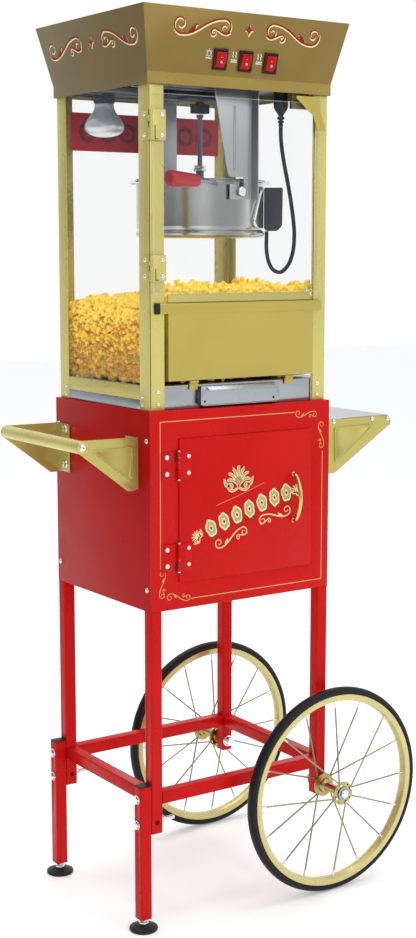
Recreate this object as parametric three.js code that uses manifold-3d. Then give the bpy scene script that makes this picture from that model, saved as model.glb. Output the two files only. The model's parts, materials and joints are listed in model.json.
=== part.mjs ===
// Popcorn cart: a red cabinet on two spoked wheels and two levelling feet, with a glazed popper on top.
// Millimetres, +Z up, the front faces -Y. Sizes are given about the cabinet's centre line, floor at z = 0.
import * as THREE from 'three';
import { mergeVertices } from 'three/addons/utils/BufferGeometryUtils.js';
import Module from 'manifold-3d';

const wasm = await Module();
wasm.setup();

// ---- driving dimensions ----
const GAP = 0.3;                 // between pieces that touch
const SHEET = 2;                 // sheet-metal thickness
const TUBE = 22.2;               // square frame tube
const TUBE_WALL = 1.6;
const CABINET = { halfWidth: 189.2, halfDepth: 160.5, bottom: 561.4, top: 900.8 };
const DOOR = { left: -133, right: 148, bottom: 607, top: 852.5 };
const POPPER = { halfWidth: 184, halfDepth: 151.2, base: CABINET.top + GAP, deck: 941, top: 1447 };
const POST_LEG = 30;
const GLASS = 3;
const CANOPY = {
  skirtX: 188.4, skirtY: 155.9, bottom: 1430.8, crease: 1450, topX: 209.7, topY: 179.6, top: 1551.6,
};
const LEG_BOTTOM = 172;
const RAIL_BOTTOM = 222;
const EXTENSION = { bottom: 21, top: 258 };
const FOOT = { radius: 25, discTop: 9, nut: 9, nutTop: 14, stem: 5, stemTop: 38 };
const WHEEL = {
  x: CABINET.halfWidth - TUBE / 2, y: 198, radius: 190.5, rimOuter: 178, rimInner: 165, width: 19,
};
const KETTLE = { x: 19, radius: 113, bottom: 1186, rim: 1285, pivotX: 23, pivotZ: 1265 };
const SHELF = { top: 867, right: 321, roll: 12, bottom: 767, toe: 205, front: -159, flange: 30 };
const HANDLE = { x: -296.4, z: 845.5, radius: 11.1, cap: 11.5, front: -124, back: 148 };
const PUSH_BRACKET = { top: 856, bottom: 766, toe: -210, heel: -196, wallBottom: 772, flange: 38 };
const BOW = { x: 108, low: 691, high: 774, depth: 21, radius: 3.6 };
const SWITCH = {
  x: [-50.5, 0.5, 51.5], z: 1476, halfWidth: 13.5, halfHeight: 17, holeWidth: 11.8, holeHeight: 15.4,
};

// The object's box runs from the push handle to the wheels: this puts its middle on x = 0.
const LEFT_END = HANDLE.x - HANDLE.cap;
const RIGHT_END = WHEEL.x + WHEEL.radius;
const ORIGIN_X = (LEFT_END + RIGHT_END) / 2;

const rad = THREE.MathUtils.degToRad;
const group = new THREE.Group();
group.position.x = -ORIGIN_X;

// ---- materials ----
const paint = (color) => new THREE.MeshStandardMaterial({ color, roughness: 0.3, metalness: 0.1 });
const metal = (color, roughness = 0.3) => new THREE.MeshStandardMaterial({ color, roughness, metalness: 1 });
const plastic = (color, roughness = 0.5) => new THREE.MeshStandardMaterial({ color, roughness });
const MATERIAL = {
  red: paint(0xc81a14),
  gold: metal(0xc9b860),
  bronze: metal(0x92793e),
  steel: metal(0xb4b7bc),
  black: plastic(0x17181b),
  rubber: plastic(0x111214, 0.8),
  redPlastic: plastic(0xbe2832, 0.35),
  clear: new THREE.MeshStandardMaterial({
    color: 0xe8f2f4, roughness: 0.05, transparent: true, opacity: 0.3,
  }),
  bulb: plastic(0xd8d8d6, 0.25),
  popcorn: plastic(0xffd870, 0.9),
  shelf: metal(0xd6d8dc, 0.4),
};

// ---- helpers ----
function add(name, geometry, material) {
  const mesh = new THREE.Mesh(geometry, material);
  mesh.name = name;
  group.add(mesh);
  return mesh;
}

function box(x0, x1, y0, y1, z0, z1) {
  const geometry = new THREE.BoxGeometry(x1 - x0, y1 - y0, z1 - z0);
  return geometry.translate((x0 + x1) / 2, (y0 + y1) / 2, (z0 + z1) / 2);
}

function outline(points) {
  return new THREE.Shape(points.map(([u, v]) => new THREE.Vector2(u, v)));
}

function roundedRectangle(u0, u1, v0, v1, r) {
  const shape = new THREE.Shape();
  shape.moveTo(u0 + r, v0);
  shape.lineTo(u1 - r, v0);
  shape.absarc(u1 - r, v0 + r, r, -Math.PI / 2, 0, false);
  shape.lineTo(u1, v1 - r);
  shape.absarc(u1 - r, v1 - r, r, 0, Math.PI / 2, false);
  shape.lineTo(u0 + r, v1);
  shape.absarc(u0 + r, v1 - r, r, Math.PI / 2, Math.PI, false);
  shape.lineTo(u0, v0 + r);
  shape.absarc(u0 + r, v0 + r, r, Math.PI, Math.PI * 1.5, false);
  return shape;
}

function extrude(shape, length, curveSegments = 3) {
  return new THREE.ExtrudeGeometry(shape, { depth: length, bevelEnabled: false, curveSegments });
}

// A shape drawn in (x, y), (x, z) or (y, z), extruded along the third axis.
const alongZ = (shape, z0, z1, segments) => extrude(shape, z1 - z0, segments).translate(0, 0, z0);
const alongY = (shape, y0, y1, segments) => (
  extrude(shape, y1 - y0, segments).rotateX(Math.PI / 2).translate(0, y1, 0));
const YZ_TO_X = new THREE.Matrix4().makeBasis(
  new THREE.Vector3(0, 1, 0), new THREE.Vector3(0, 0, 1), new THREE.Vector3(1, 0, 0));
const alongX = (shape, x0, x1, segments) => (
  extrude(shape, x1 - x0, segments).applyMatrix4(YZ_TO_X).translate(x0, 0, 0));

function squareTubeSection(u, v) {
  const half = TUBE / 2;
  const inner = half - TUBE_WALL;
  const shape = roundedRectangle(u - half, u + half, v - half, v + half, 2.5);
  shape.holes.push(roundedRectangle(u - inner, u + inner, v - inner, v + inner, 1.2));
  return shape;
}

// Turned about +Z through (x, y). The profile's points are (radius, z), closed on the axis or on itself.
function turned(profile, x, y, segments = 32) {
  const points = profile.map(([r, z]) => new THREE.Vector2(r, z));
  return faceOut(new THREE.LatheGeometry(points, segments).rotateX(Math.PI / 2).translate(x, y, 0));
}

// Turned about a line along Y through (x, z). The profile's points are (radius, y).
function turnedAlongY(profile, x, z, segments = 32) {
  const points = profile.map(([r, y]) => new THREE.Vector2(r, y));
  return faceOut(new THREE.LatheGeometry(points, segments).translate(x, 0, z));
}

function cylinder(radius, from, to, segments = 12) {
  const start = new THREE.Vector3(...from);
  const span = new THREE.Vector3(...to).sub(start);
  const geometry = new THREE.CylinderGeometry(radius, radius, span.length(), segments);
  const up = new THREE.Vector3(0, 1, 0);
  const turn = new THREE.Quaternion().setFromUnitVectors(up, span.clone().normalize());
  geometry.applyQuaternion(turn);
  return geometry.translate(...start.addScaledVector(span, 0.5).toArray());
}

function rodAlong(points, radius, steps, sides = 8) {
  const path = new THREE.CatmullRomCurve3(points.map((p) => new THREE.Vector3(...p)), false, 'centripetal');
  const section = new THREE.Shape().absarc(0, 0, radius, 0, Math.PI * 2, false);
  return new THREE.ExtrudeGeometry(section, {
    extrudePath: path, steps, curveSegments: sides / 2, bevelEnabled: false,
  });
}

function signedVolume(geometry) {
  const position = geometry.attributes.position;
  const index = geometry.index.array;
  const [a, b, c] = [new THREE.Vector3(), new THREE.Vector3(), new THREE.Vector3()];
  let volume = 0;
  for (let i = 0; i < index.length; i += 3) {
    a.fromBufferAttribute(position, index[i]);
    b.fromBufferAttribute(position, index[i + 1]);
    c.fromBufferAttribute(position, index[i + 2]);
    volume += a.dot(b.cross(c));
  }
  return volume;
}

function faceOut(geometry) {
  if (signedVolume(geometry) < 0) {
    const index = geometry.index.array;
    for (let i = 0; i < index.length; i += 3) {
      [index[i], index[i + 1]] = [index[i + 1], index[i]];
    }
  }
  return geometry;
}

// An outline may be drawn either way round: its solid is turned to face out here.
function faceOutward(geometry) {
  const merged = mergeVertices(geometry.deleteAttribute('normal').deleteAttribute('uv'), 1e-4);
  return faceOut(merged);
}

// ---- booleans ----
function solid(geometry) {
  const bare = geometry.clone();
  bare.deleteAttribute('normal');
  bare.deleteAttribute('uv');
  const merged = mergeVertices(bare, 1e-3);
  return new wasm.Manifold(new wasm.Mesh({
    numProp: 3,
    vertProperties: new Float32Array(merged.attributes.position.array),
    triVerts: new Uint32Array(merged.index.array),
  }));
}

function toGeometry(manifold) {
  const mesh = manifold.getMesh();
  const geometry = new THREE.BufferGeometry();
  geometry.setAttribute('position', new THREE.BufferAttribute(new Float32Array(mesh.vertProperties), 3));
  geometry.setIndex(new THREE.BufferAttribute(new Uint32Array(mesh.triVerts), 1));
  geometry.computeVertexNormals();
  return geometry;
}

const union = (...parts) => toGeometry(parts.map(solid).reduce((all, part) => all.add(part)));
const cut = (base, ...tools) => (
  toGeometry(tools.map(solid).reduce((left, tool) => left.subtract(tool), solid(base))));

// ---- lower frame: welded leg pairs, rails, leg extensions and feet ----
const legY = CABINET.halfDepth - TUBE / 2;
const legX = CABINET.halfWidth - TUBE / 2;
const legTop = CABINET.bottom - GAP;
const railZ = RAIL_BOTTOM + TUBE / 2;
const EXTENSION_X = -legX - TUBE - GAP;
const BOLT_HEIGHTS = [191, 236];
const BOLT_RADIUS = 4;

function weldedLegs(name, x, holes) {
  const legs = [-legY, legY].map((y) => alongZ(squareTubeSection(x, y), LEG_BOTTOM, legTop));
  const rail = alongY(squareTubeSection(x, railZ), -legY + TUBE / 2 - 0.5, legY - TUBE / 2 + 0.5);
  const bore = TUBE / 2 - TUBE_WALL;
  const railBore = box(x - bore, x + bore, -legY, legY, railZ - bore, railZ + bore);
  add(name, cut(union(...legs, rail), railBore, ...holes), MATERIAL.red);
}

// A round hole for a frame bolt, along the line between two points.
function boltHole(from, to) {
  return cylinder(BOLT_RADIUS + GAP, from, to, 12);
}

const leftHoles = [-legY, legY].flatMap((y) => BOLT_HEIGHTS.map(
  (z) => boltHole([-CABINET.halfWidth - 1, y, z], [-CABINET.halfWidth + TUBE + 1, y, z])));
const frontSlots = [-1, 1].map((side) => boltHole(
  [-legX, side * (legY - TUBE / 2 - 1), 191], [-legX, side * (legY + TUBE / 2 + 1), 191]));
weldedLegs('left_leg_frame', -legX, [...leftHoles, ...frontSlots]);
const axleHoles = [-1, 1].map((side) => boltHole(
  [legX, side * (legY - TUBE / 2 - 1), WHEEL.radius], [legX, side * (legY + TUBE / 2 + 1), WHEEL.radius]));
weldedLegs('right_leg_frame', legX, axleHoles);

for (const [name, y] of [['front_rail', -legY], ['back_rail', legY]]) {
  const reach = legX - TUBE / 2 - GAP;
  add(name, alongX(squareTubeSection(y, railZ), -reach, reach), MATERIAL.red);
}

for (const [end, y] of [['front', -legY], ['back', legY]]) {
  const tube = alongZ(squareTubeSection(EXTENSION_X, y), EXTENSION.bottom, EXTENSION.top);
  const plugHalf = TUBE / 2 - 1;
  const plug = box(EXTENSION_X - plugHalf, EXTENSION_X + plugHalf, y - plugHalf, y + plugHalf,
    EXTENSION.bottom, EXTENSION.bottom + 8);
  const stemHole = cylinder(FOOT.stem + GAP, [EXTENSION_X, y, 0], [EXTENSION_X, y, FOOT.stemTop + 2], 16);
  const holes = BOLT_HEIGHTS.map((z) => boltHole(
    [EXTENSION_X - TUBE / 2 - 1, y, z], [EXTENSION_X + TUBE / 2 + 1, y, z]));
  add(`leg_extension_${end}`, cut(union(tube, plug), stemHole, ...holes), MATERIAL.red);
  add(`foot_${end}`, turned([
    [0, 0], [FOOT.radius - 2, 0], [FOOT.radius, 2], [FOOT.radius, 5], [FOOT.nut + 3, FOOT.discTop],
    [FOOT.nut, FOOT.discTop + 1],
    [FOOT.nut, FOOT.nutTop], [FOOT.stem, FOOT.nutTop], [FOOT.stem, FOOT.stemTop], [0, FOOT.stemTop],
  ], EXTENSION_X, y), MATERIAL.black);
}

// ---- wheels and stub axles ----
const HUB = { flange: 21.5, flangeHalf: 29, flangeThickness: 3, barrel: 8.5, collar: 14, bore: 4.6, nose: 6 };
const SPOKES = 16;
const SPOKE_RADIUS = 1.25;
const SPOKE_LEAN = rad(26);

function spokedWheel(y, outward) {
  const innerEnd = -HUB.flangeHalf - HUB.nose;
  const innerFace = -HUB.flangeHalf + HUB.flangeThickness;
  const outerFace = HUB.flangeHalf - HUB.flangeThickness;
  const hubProfile = [
    [HUB.bore, innerEnd], [HUB.collar - 3, innerEnd], [HUB.collar - 3, -HUB.flangeHalf],
    [HUB.flange, -HUB.flangeHalf], [HUB.flange, innerFace], [HUB.collar, innerFace],
    [HUB.collar, -HUB.flangeHalf + 11], [HUB.barrel, -HUB.flangeHalf + 13],
    [HUB.barrel, HUB.flangeHalf - 13], [HUB.collar, HUB.flangeHalf - 11], [HUB.collar, outerFace],
    [HUB.flange, outerFace], [HUB.flange, HUB.flangeHalf], [HUB.bore, HUB.flangeHalf], [HUB.bore, innerEnd],
  ].map(([r, w]) => [r, y + outward * w]);
  const half = WHEEL.width / 2;
  const rimProfile = [
    [WHEEL.rimInner + 3, -half], [WHEEL.rimOuter, -half], [WHEEL.rimOuter, half], [WHEEL.rimInner + 3, half],
    [WHEEL.rimInner, half - 4], [WHEEL.rimInner, -half + 4], [WHEEL.rimInner + 3, -half],
  ].map(([r, w]) => [r, y + w]);
  const parts = [
    turnedAlongY(hubProfile, WHEEL.x, WHEEL.radius, 24),
    turnedAlongY(rimProfile, WHEEL.x, WHEEL.radius, 48),
  ];
  for (let i = 0; i < SPOKES; i += 1) {
    const side = i % 2 ? 1 : -1;
    const rimAngle = (i * Math.PI * 2) / SPOKES;
    const hubAngle = rimAngle + (i % 4 < 2 ? SPOKE_LEAN : -SPOKE_LEAN);
    const at = (r, angle, w) => [WHEEL.x + r * Math.cos(angle), y + w, WHEEL.radius + r * Math.sin(angle)];
    const hubEnd = at(HUB.flange - 4, hubAngle, side * (HUB.flangeHalf - 1.5));
    const rimEnd = at(WHEEL.rimInner + 4, rimAngle, side * 2);
    parts.push(cylinder(SPOKE_RADIUS, hubEnd, rimEnd, 6));
  }
  return union(...parts);
}

function tyreProfile(y) {
  const crown = (WHEEL.radius - WHEEL.rimOuter) / 2;
  const seat = WHEEL.rimOuter + GAP;
  const half = WHEEL.width / 2;
  const profile = [[seat, y - half + 2.5], [seat, y + half - 2.5]];
  const turns = 8;
  for (let i = 0; i <= turns; i += 1) {
    const angle = (i * Math.PI) / turns;
    profile.push([WHEEL.rimOuter + crown * (0.7 + 1.3 * Math.sin(angle)), y + half * Math.cos(angle)]);
  }
  profile.push(profile[0]);
  return profile;
}

for (const [end, outward] of [['front', -1], ['back', 1]]) {
  const y = outward * WHEEL.y;
  add(`wheel_${end}`, spokedWheel(y, outward), MATERIAL.gold);
  add(`tyre_${end}`, turnedAlongY(tyreProfile(y), WHEEL.x, WHEEL.radius, 48), MATERIAL.rubber);
  const legInside = outward * (legY - TUBE / 2 - GAP);
  const hubOutside = y + outward * (HUB.flangeHalf + GAP);
  add(`axle_${end}`, turnedAlongY([
    [0, legInside - outward * 10], [7.5, legInside - outward * 10], [7.5, legInside],
    [BOLT_RADIUS, legInside], [BOLT_RADIUS, hubOutside], [11, hubOutside],
    [11, hubOutside + outward * 3], [8, hubOutside + outward * 7], [0, hubOutside + outward * 8],
  ], WHEEL.x, WHEEL.radius, 24), MATERIAL.steel);
}

// ---- cabinet panels ----
const inX = CABINET.halfWidth - SHEET - GAP;
const inY = CABINET.halfDepth - SHEET - GAP;
const frontPlate = box(-CABINET.halfWidth, CABINET.halfWidth, -CABINET.halfDepth, -CABINET.halfDepth + SHEET,
  CABINET.bottom, CABINET.top);
const DOOR_LIP = 4;
const doorway = box(DOOR.left + DOOR_LIP, DOOR.right - DOOR_LIP,
  -CABINET.halfDepth - 5, -CABINET.halfDepth + 5, DOOR.bottom + DOOR_LIP, DOOR.top - DOOR_LIP);
add('cabinet_front_frame', cut(frontPlate, doorway), MATERIAL.red);
add('cabinet_back_panel', box(-CABINET.halfWidth, CABINET.halfWidth,
  CABINET.halfDepth - SHEET, CABINET.halfDepth, CABINET.bottom, CABINET.top), MATERIAL.red);
add('cabinet_left_panel', box(-CABINET.halfWidth, -CABINET.halfWidth + SHEET, -inY, inY,
  CABINET.bottom, CABINET.top), MATERIAL.red);
add('cabinet_right_panel', box(CABINET.halfWidth - SHEET, CABINET.halfWidth, -inY, inY,
  CABINET.bottom, CABINET.top), MATERIAL.red);
add('cabinet_top', box(-inX, inX, -inY, inY, CABINET.top - SHEET, CABINET.top), MATERIAL.red);
add('cabinet_floor', box(-inX, inX, -inY, inY, CABINET.bottom, CABINET.bottom + SHEET), MATERIAL.red);

// ---- cabinet door with a bow handle ----
const doorBackFace = -CABINET.halfDepth - GAP;
const doorFrontFace = doorBackFace - 2.2;
const doorPan = box(DOOR.left, DOOR.right, doorFrontFace, doorBackFace, DOOR.bottom, DOOR.top);
const panInset = DOOR_LIP + 3;
const [rimLeft, rimRight] = [DOOR.left + panInset, DOOR.right - panInset];
const [rimBottom, rimTop] = [DOOR.bottom + panInset, DOOR.top - panInset];
const doorRim = cut(
  box(rimLeft, rimRight, doorBackFace - 1, doorBackFace + 13, rimBottom, rimTop),
  box(rimLeft + SHEET, rimRight - SHEET, doorBackFace - 0.5, doorBackFace + 20,
    rimBottom + SHEET, rimTop - SHEET));
add('cart_door', union(doorPan, doorRim), MATERIAL.red);

const bowFoot = doorFrontFace - GAP - 0.5;
const bowAt = (share, z) => [BOW.x, bowFoot - BOW.depth * share, z];
add('bow_handle', rodAlong([
  bowAt(0, BOW.low), bowAt(0.12, BOW.low), bowAt(0.36, BOW.low + 3), bowAt(0.82, BOW.low + 20),
  bowAt(1, (BOW.low + BOW.high) / 2),
  bowAt(0.82, BOW.high - 20), bowAt(0.36, BOW.high - 3), bowAt(0.12, BOW.high), bowAt(0, BOW.high),
], BOW.radius, 28), MATERIAL.gold);

// ---- push handle: a tube between two pressed brackets ----
const pushWall = -CABINET.halfWidth - GAP;
const sorted = (a, b) => [Math.min(a, b), Math.max(a, b)];

function pushBracket(web, inward) {
  const shape = new THREE.Shape();
  shape.moveTo(pushWall, PUSH_BRACKET.top);
  shape.lineTo(HANDLE.x, HANDLE.z + HANDLE.cap);
  shape.absarc(HANDLE.x, HANDLE.z, HANDLE.cap, Math.PI / 2, Math.PI * 1.24, false);
  shape.lineTo(PUSH_BRACKET.toe, PUSH_BRACKET.bottom);
  shape.lineTo(PUSH_BRACKET.heel, PUSH_BRACKET.bottom);
  shape.lineTo(pushWall, PUSH_BRACKET.wallBottom);
  const panel = alongY(shape, ...sorted(web, web + inward * SHEET), 8);
  const flange = box(pushWall - SHEET, pushWall, ...sorted(web, web + inward * PUSH_BRACKET.flange),
    PUSH_BRACKET.bottom + 2, PUSH_BRACKET.top - 1);
  return union(panel, flange);
}
add('handle_bracket_front', pushBracket(HANDLE.front, 1), MATERIAL.gold);
add('handle_bracket_back', pushBracket(HANDLE.back, -1), MATERIAL.gold);
const tubeFront = HANDLE.front + SHEET + GAP;
const tubeBack = HANDLE.back - SHEET - GAP;
add('push_handle_tube', turnedAlongY([
  [0, tubeFront], [HANDLE.radius, tubeFront], [HANDLE.radius, tubeBack], [0, tubeBack],
], HANDLE.x, HANDLE.z, 24), MATERIAL.gold);

// ---- side shelf on two pressed brackets ----
const shelfWall = CABINET.halfWidth + GAP;
const bracketTop = SHELF.top - SHEET - GAP;
const rollCentre = SHELF.top - SHEET - SHELF.roll;

function shelfBracket(web, inward) {
  const shape = new THREE.Shape();
  shape.moveTo(shelfWall, bracketTop);
  shape.lineTo(SHELF.right, bracketTop);
  shape.absarc(SHELF.right, bracketTop - SHELF.roll, SHELF.roll, Math.PI / 2, -0.7, true);
  shape.lineTo(SHELF.toe, SHELF.bottom);
  shape.lineTo(shelfWall, SHELF.bottom);
  const panel = alongY(shape, ...sorted(web, web + inward * SHEET), 8);
  const flange = box(shelfWall, shelfWall + SHEET, ...sorted(web, web + inward * SHELF.flange),
    SHELF.bottom + 2, SHELF.top - 6);
  return union(panel, flange);
}
add('shelf_bracket_front', shelfBracket(SHELF.front, 1), MATERIAL.gold);
add('shelf_bracket_back', shelfBracket(-SHELF.front, -1), MATERIAL.gold);

// The tray's sheet rolls down round the brackets' ends.
const trayProfile = new THREE.Shape();
trayProfile.moveTo(shelfWall, SHELF.top);
trayProfile.lineTo(SHELF.right, SHELF.top);
trayProfile.absarc(SHELF.right, rollCentre, SHELF.roll + SHEET, Math.PI / 2, -0.6, true);
trayProfile.absarc(SHELF.right, rollCentre, SHELF.roll + GAP, -0.6, Math.PI / 2, false);
trayProfile.lineTo(shelfWall, rollCentre + SHELF.roll + GAP);
add('shelf_tray', alongY(trayProfile, SHELF.front - 0.5, -SHELF.front + 0.5, 8), MATERIAL.shelf);

// ---- popper base, posts and glazing ----
const baseX = POPPER.halfWidth - SHEET - GAP;
const baseY = POPPER.halfDepth - SHEET - GAP;
const DRAWER = { left: -85, right: 80, bottom: POPPER.base + 3, top: 938, back: 60 };
add('popper_base', cut(
  box(-baseX, baseX, -baseY, baseY, POPPER.base, POPPER.deck),
  box(-baseX + SHEET, baseX - SHEET, -baseY + SHEET, baseY - SHEET, POPPER.base - 1, POPPER.deck - SHEET),
  box(DRAWER.left + 3, DRAWER.right - 3, -baseY - 1, -baseY + SHEET + 1, POPPER.base - 1, DRAWER.top - 3),
), MATERIAL.steel);

// The tray: an open pan behind a lipped front.
const panLeft = DRAWER.left + 5;
const panRight = DRAWER.right - 5;
const drawerFront = -POPPER.halfDepth - 6;
const drawerPan = cut(
  box(panLeft, panRight, drawerFront + 1, DRAWER.back, DRAWER.bottom, DRAWER.top - 6),
  box(panLeft + SHEET, panRight - SHEET, drawerFront + 3, DRAWER.back - SHEET,
    DRAWER.bottom + SHEET, DRAWER.top));
const drawerPlate = box(DRAWER.left, DRAWER.right, drawerFront, drawerFront + SHEET,
  DRAWER.bottom + 2, DRAWER.top);
const drawerLip = alongX(outline([
  [drawerFront, DRAWER.top], [drawerFront + SHEET, DRAWER.top - 1], [drawerFront - 8, DRAWER.top - 9],
  [drawerFront - 9, DRAWER.top - 8]]), DRAWER.left + 12, DRAWER.right - 12);
add('crumb_drawer', union(drawerPan, drawerPlate, faceOutward(drawerLip)), MATERIAL.steel);

function post(name, sideX, sideY) {
  const x = sideX * POPPER.halfWidth;
  const y = sideY * POPPER.halfDepth;
  const innerX = x - sideX * SHEET;
  const innerY = y - sideY * SHEET;
  const points = [
    [x, y], [x - sideX * POST_LEG, y], [x - sideX * POST_LEG, innerY], [innerX, innerY],
    [innerX, y - sideY * POST_LEG], [x, y - sideY * POST_LEG],
  ];
  const ordered = sideX * sideY > 0 ? points : points.reverse();
  add(name, alongZ(outline(ordered), POPPER.base, POPPER.top), MATERIAL.gold);
}
post('post_front_left', -1, -1);
post('post_front_right', 1, -1);
post('post_back_left', -1, 1);
post('post_back_right', 1, 1);

const glassBottom = POPPER.deck + GAP;
const glassTop = POPPER.top - GAP;
const paneY = baseY - 6;
const paneX = baseX - 6;
add('left_glass', box(-baseX, -baseX + GLASS, -paneY, paneY, glassBottom, glassTop), MATERIAL.clear);
add('right_glass', box(baseX - GLASS, baseX, -paneY, paneY, glassBottom, glassTop), MATERIAL.clear);
add('back_glass', box(-paneX, paneX, baseY - GLASS, baseY, glassBottom, glassTop), MATERIAL.clear);

// ---- canopy, ceiling and switches ----
function tapered(x0, y0, z0, x1, y1, z1) {
  const geometry = box(-x0, x0, -y0, y0, z0, z1);
  const position = geometry.attributes.position;
  for (let i = 0; i < position.count; i += 1) {
    if (position.getZ(i) > (z0 + z1) / 2) {
      position.setX(i, Math.sign(position.getX(i)) * x1);
      position.setY(i, Math.sign(position.getY(i)) * y1);
    }
  }
  return geometry;
}
const slope = Math.atan2(CANOPY.topY - CANOPY.skirtY, CANOPY.top - CANOPY.crease);
const slopeY = -CANOPY.skirtY - Math.tan(slope) * (SWITCH.z - CANOPY.crease);

// A piece built about the origin, facing -Y, set on the canopy's sloping front face.
const onSlope = (geometry, x) => geometry.rotateX(slope).translate(x, slopeY, SWITCH.z);

const holeX = SWITCH.holeWidth + GAP;
const holeZ = SWITCH.holeHeight + GAP;
const switchHoles = SWITCH.x.map((x) => onSlope(box(-holeX, holeX, -10, 10, -holeZ, holeZ), x));
const outer = union(
  box(-CANOPY.skirtX, CANOPY.skirtX, -CANOPY.skirtY, CANOPY.skirtY, CANOPY.bottom, CANOPY.crease),
  tapered(CANOPY.skirtX, CANOPY.skirtY, CANOPY.crease, CANOPY.topX, CANOPY.topY, CANOPY.top));
const hollow = union(
  box(-CANOPY.skirtX + SHEET, CANOPY.skirtX - SHEET, -CANOPY.skirtY + SHEET, CANOPY.skirtY - SHEET,
    CANOPY.bottom - 1, CANOPY.crease),
  tapered(CANOPY.skirtX - SHEET, CANOPY.skirtY - SHEET, CANOPY.crease,
    CANOPY.topX - SHEET - 0.5, CANOPY.topY - SHEET - 0.5, CANOPY.top - SHEET));
add('canopy', cut(outer, hollow, ...switchHoles), MATERIAL.bronze);

const ceilingZ = POPPER.top + GAP;
add('ceiling_plate', box(-CANOPY.skirtX + SHEET + GAP, CANOPY.skirtX - SHEET - GAP,
  -CANOPY.skirtY + SHEET + GAP, CANOPY.skirtY - SHEET - GAP, ceilingZ, ceilingZ + 1.6), MATERIAL.steel);

// Three bezels on one mounting bar behind the canopy's face.
const ROCKER = { halfWidth: 9.6, halfHeight: 13, back: -4, front: 6, edge: 4.6, tilt: rad(7) };
const bezelParts = SWITCH.x.flatMap((x) => {
  const flange = box(-SWITCH.halfWidth, SWITCH.halfWidth, -3.2, -GAP, -SWITCH.halfHeight, SWITCH.halfHeight);
  const body = box(-SWITCH.holeWidth, SWITCH.holeWidth, -1, 18, -SWITCH.holeHeight, SWITCH.holeHeight);
  return [onSlope(flange, x), onSlope(body, x)];
});
const bezelBar = onSlope(box(SWITCH.x[0] - 4, SWITCH.x[2] + 4, 15, 19, -6, 6), 0);
const wellX = ROCKER.halfWidth + 0.6;
const wellZ = ROCKER.halfHeight + 1.1;
const rockerWells = SWITCH.x.map((x) => onSlope(box(-wellX, wellX, -8, 10, -wellZ, wellZ), x));
add('switch_housing', cut(union(...bezelParts, bezelBar), ...rockerWells), MATERIAL.black);

// A rocker pivots on its own middle line, 1 mm behind the canopy's face.
SWITCH.x.forEach((x, i) => {
  const profile = outline([
    [-ROCKER.back, -ROCKER.halfHeight], [-ROCKER.edge, -ROCKER.halfHeight], [-ROCKER.front, 0],
    [-ROCKER.edge, ROCKER.halfHeight], [-ROCKER.back, ROCKER.halfHeight], [1.6, 0],
  ]);
  const rocker = faceOutward(alongX(profile, -ROCKER.halfWidth, ROCKER.halfWidth));
  add(`rocker_${i + 1}`, onSlope(rocker.rotateX(ROCKER.tilt).translate(0, 1, 0), x), MATERIAL.redPlastic);
});

// ---- front door of the popper and its handle plate ----
const PANE = { left: -177, right: 165, bottom: 1094.5, top: 1416.5, y: -POPPER.halfDepth - 1 };
add('front_door', box(PANE.left, PANE.right, PANE.y - GLASS, PANE.y, PANE.bottom, PANE.top), MATERIAL.clear);
const plateY = PANE.y - GLASS - GAP;
const plateUpper = alongY(outline([[146, 1398], [166, 1398], [164, 1427], [113, 1427], [113, 1423]]),
  plateY - 1.6, plateY);
const plateFlare = alongX(outline([
  [plateY, 1399], [plateY - 1.6, 1399], [plateY - 16, 1369], [plateY - 14.2, 1369]]), 148, 166);
add('door_handle', union(plateUpper, faceOutward(plateFlare)), MATERIAL.gold);

// ---- flap under the front door, hinged along its bottom edge ----
const FLAP = {
  left: -147.5, right: 155.5, bottom: 949, top: 1078.3, y: -POPPER.halfDepth - 0.6,
  sheet: 1.6, barLeft: -173, barRight: 171.6, barHeight: 17, lip: 15, wing: 14,
};
const flapPanel = box(FLAP.left, FLAP.right, FLAP.y - FLAP.sheet, FLAP.y, FLAP.bottom, FLAP.top);
const flapBar = box(FLAP.barLeft, FLAP.barRight, FLAP.y - 4, FLAP.y - 1, FLAP.top - FLAP.barHeight, FLAP.top);
const flapLip = alongX(outline([
  [FLAP.y - FLAP.sheet, FLAP.top - 2], [FLAP.y, FLAP.top - 2],
  [FLAP.y + 3, FLAP.top + FLAP.lip], [FLAP.y + 3 - FLAP.sheet, FLAP.top + FLAP.lip],
]), FLAP.left, FLAP.right - 5.5);
const wings = [FLAP.left, FLAP.right - 7].map((x) => box(
  x, x + FLAP.sheet, FLAP.y - 1, FLAP.y + FLAP.wing, FLAP.bottom + 4, FLAP.top - 1));
add('flap_door', union(flapPanel, flapBar, faceOutward(flapLip), ...wings), MATERIAL.gold);

// ---- kettle ----
function pot() {
  const wall = 2;
  const { radius: r, bottom: z0, rim: z1 } = KETTLE;
  const profile = [
    [0, z0], [r - 9, z0], [r - 4, z0 + 2], [r - 1.5, z0 + 6], [r - 2.5, z0 + 13], [r, z0 + 18], [r, z1 - 3],
    [r + 1.5, z1 - 2], [r + 1.5, z1], [r - wall, z1], [r - wall, z0 + 18], [r - 8, z0 + 7], [r - 14, z0 + 4],
    [0, z0 + 4],
  ];
  const bowl = turned(profile, KETTLE.x, 0, 48);
  const pins = [-1, 1].map((side) => cylinder(5, [KETTLE.pivotX, side * (r - 1.5), KETTLE.pivotZ],
    [KETTLE.pivotX, side * 126, KETTLE.pivotZ], 16));
  const knobs = [-1, 1].map((side) => cylinder(8, [KETTLE.pivotX, side * 121, KETTLE.pivotZ],
    [KETTLE.pivotX, side * 127, KETTLE.pivotZ], 16));
  const handleRod = rodAlong([
    [-18, -104.5, 1276], [-26, -112, 1278], [-44, -120, 1280], GRIP_START, [-92, -128.2, 1281.6]], 4, 14);
  return union(bowl, ...pins, ...knobs, handleRod);
}

const GRIP_START = [-70, -125, 1280.6];
const GRIP_END = [-136, -134, 1283.2];
add('kettle_pot', pot(), MATERIAL.steel);

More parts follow.
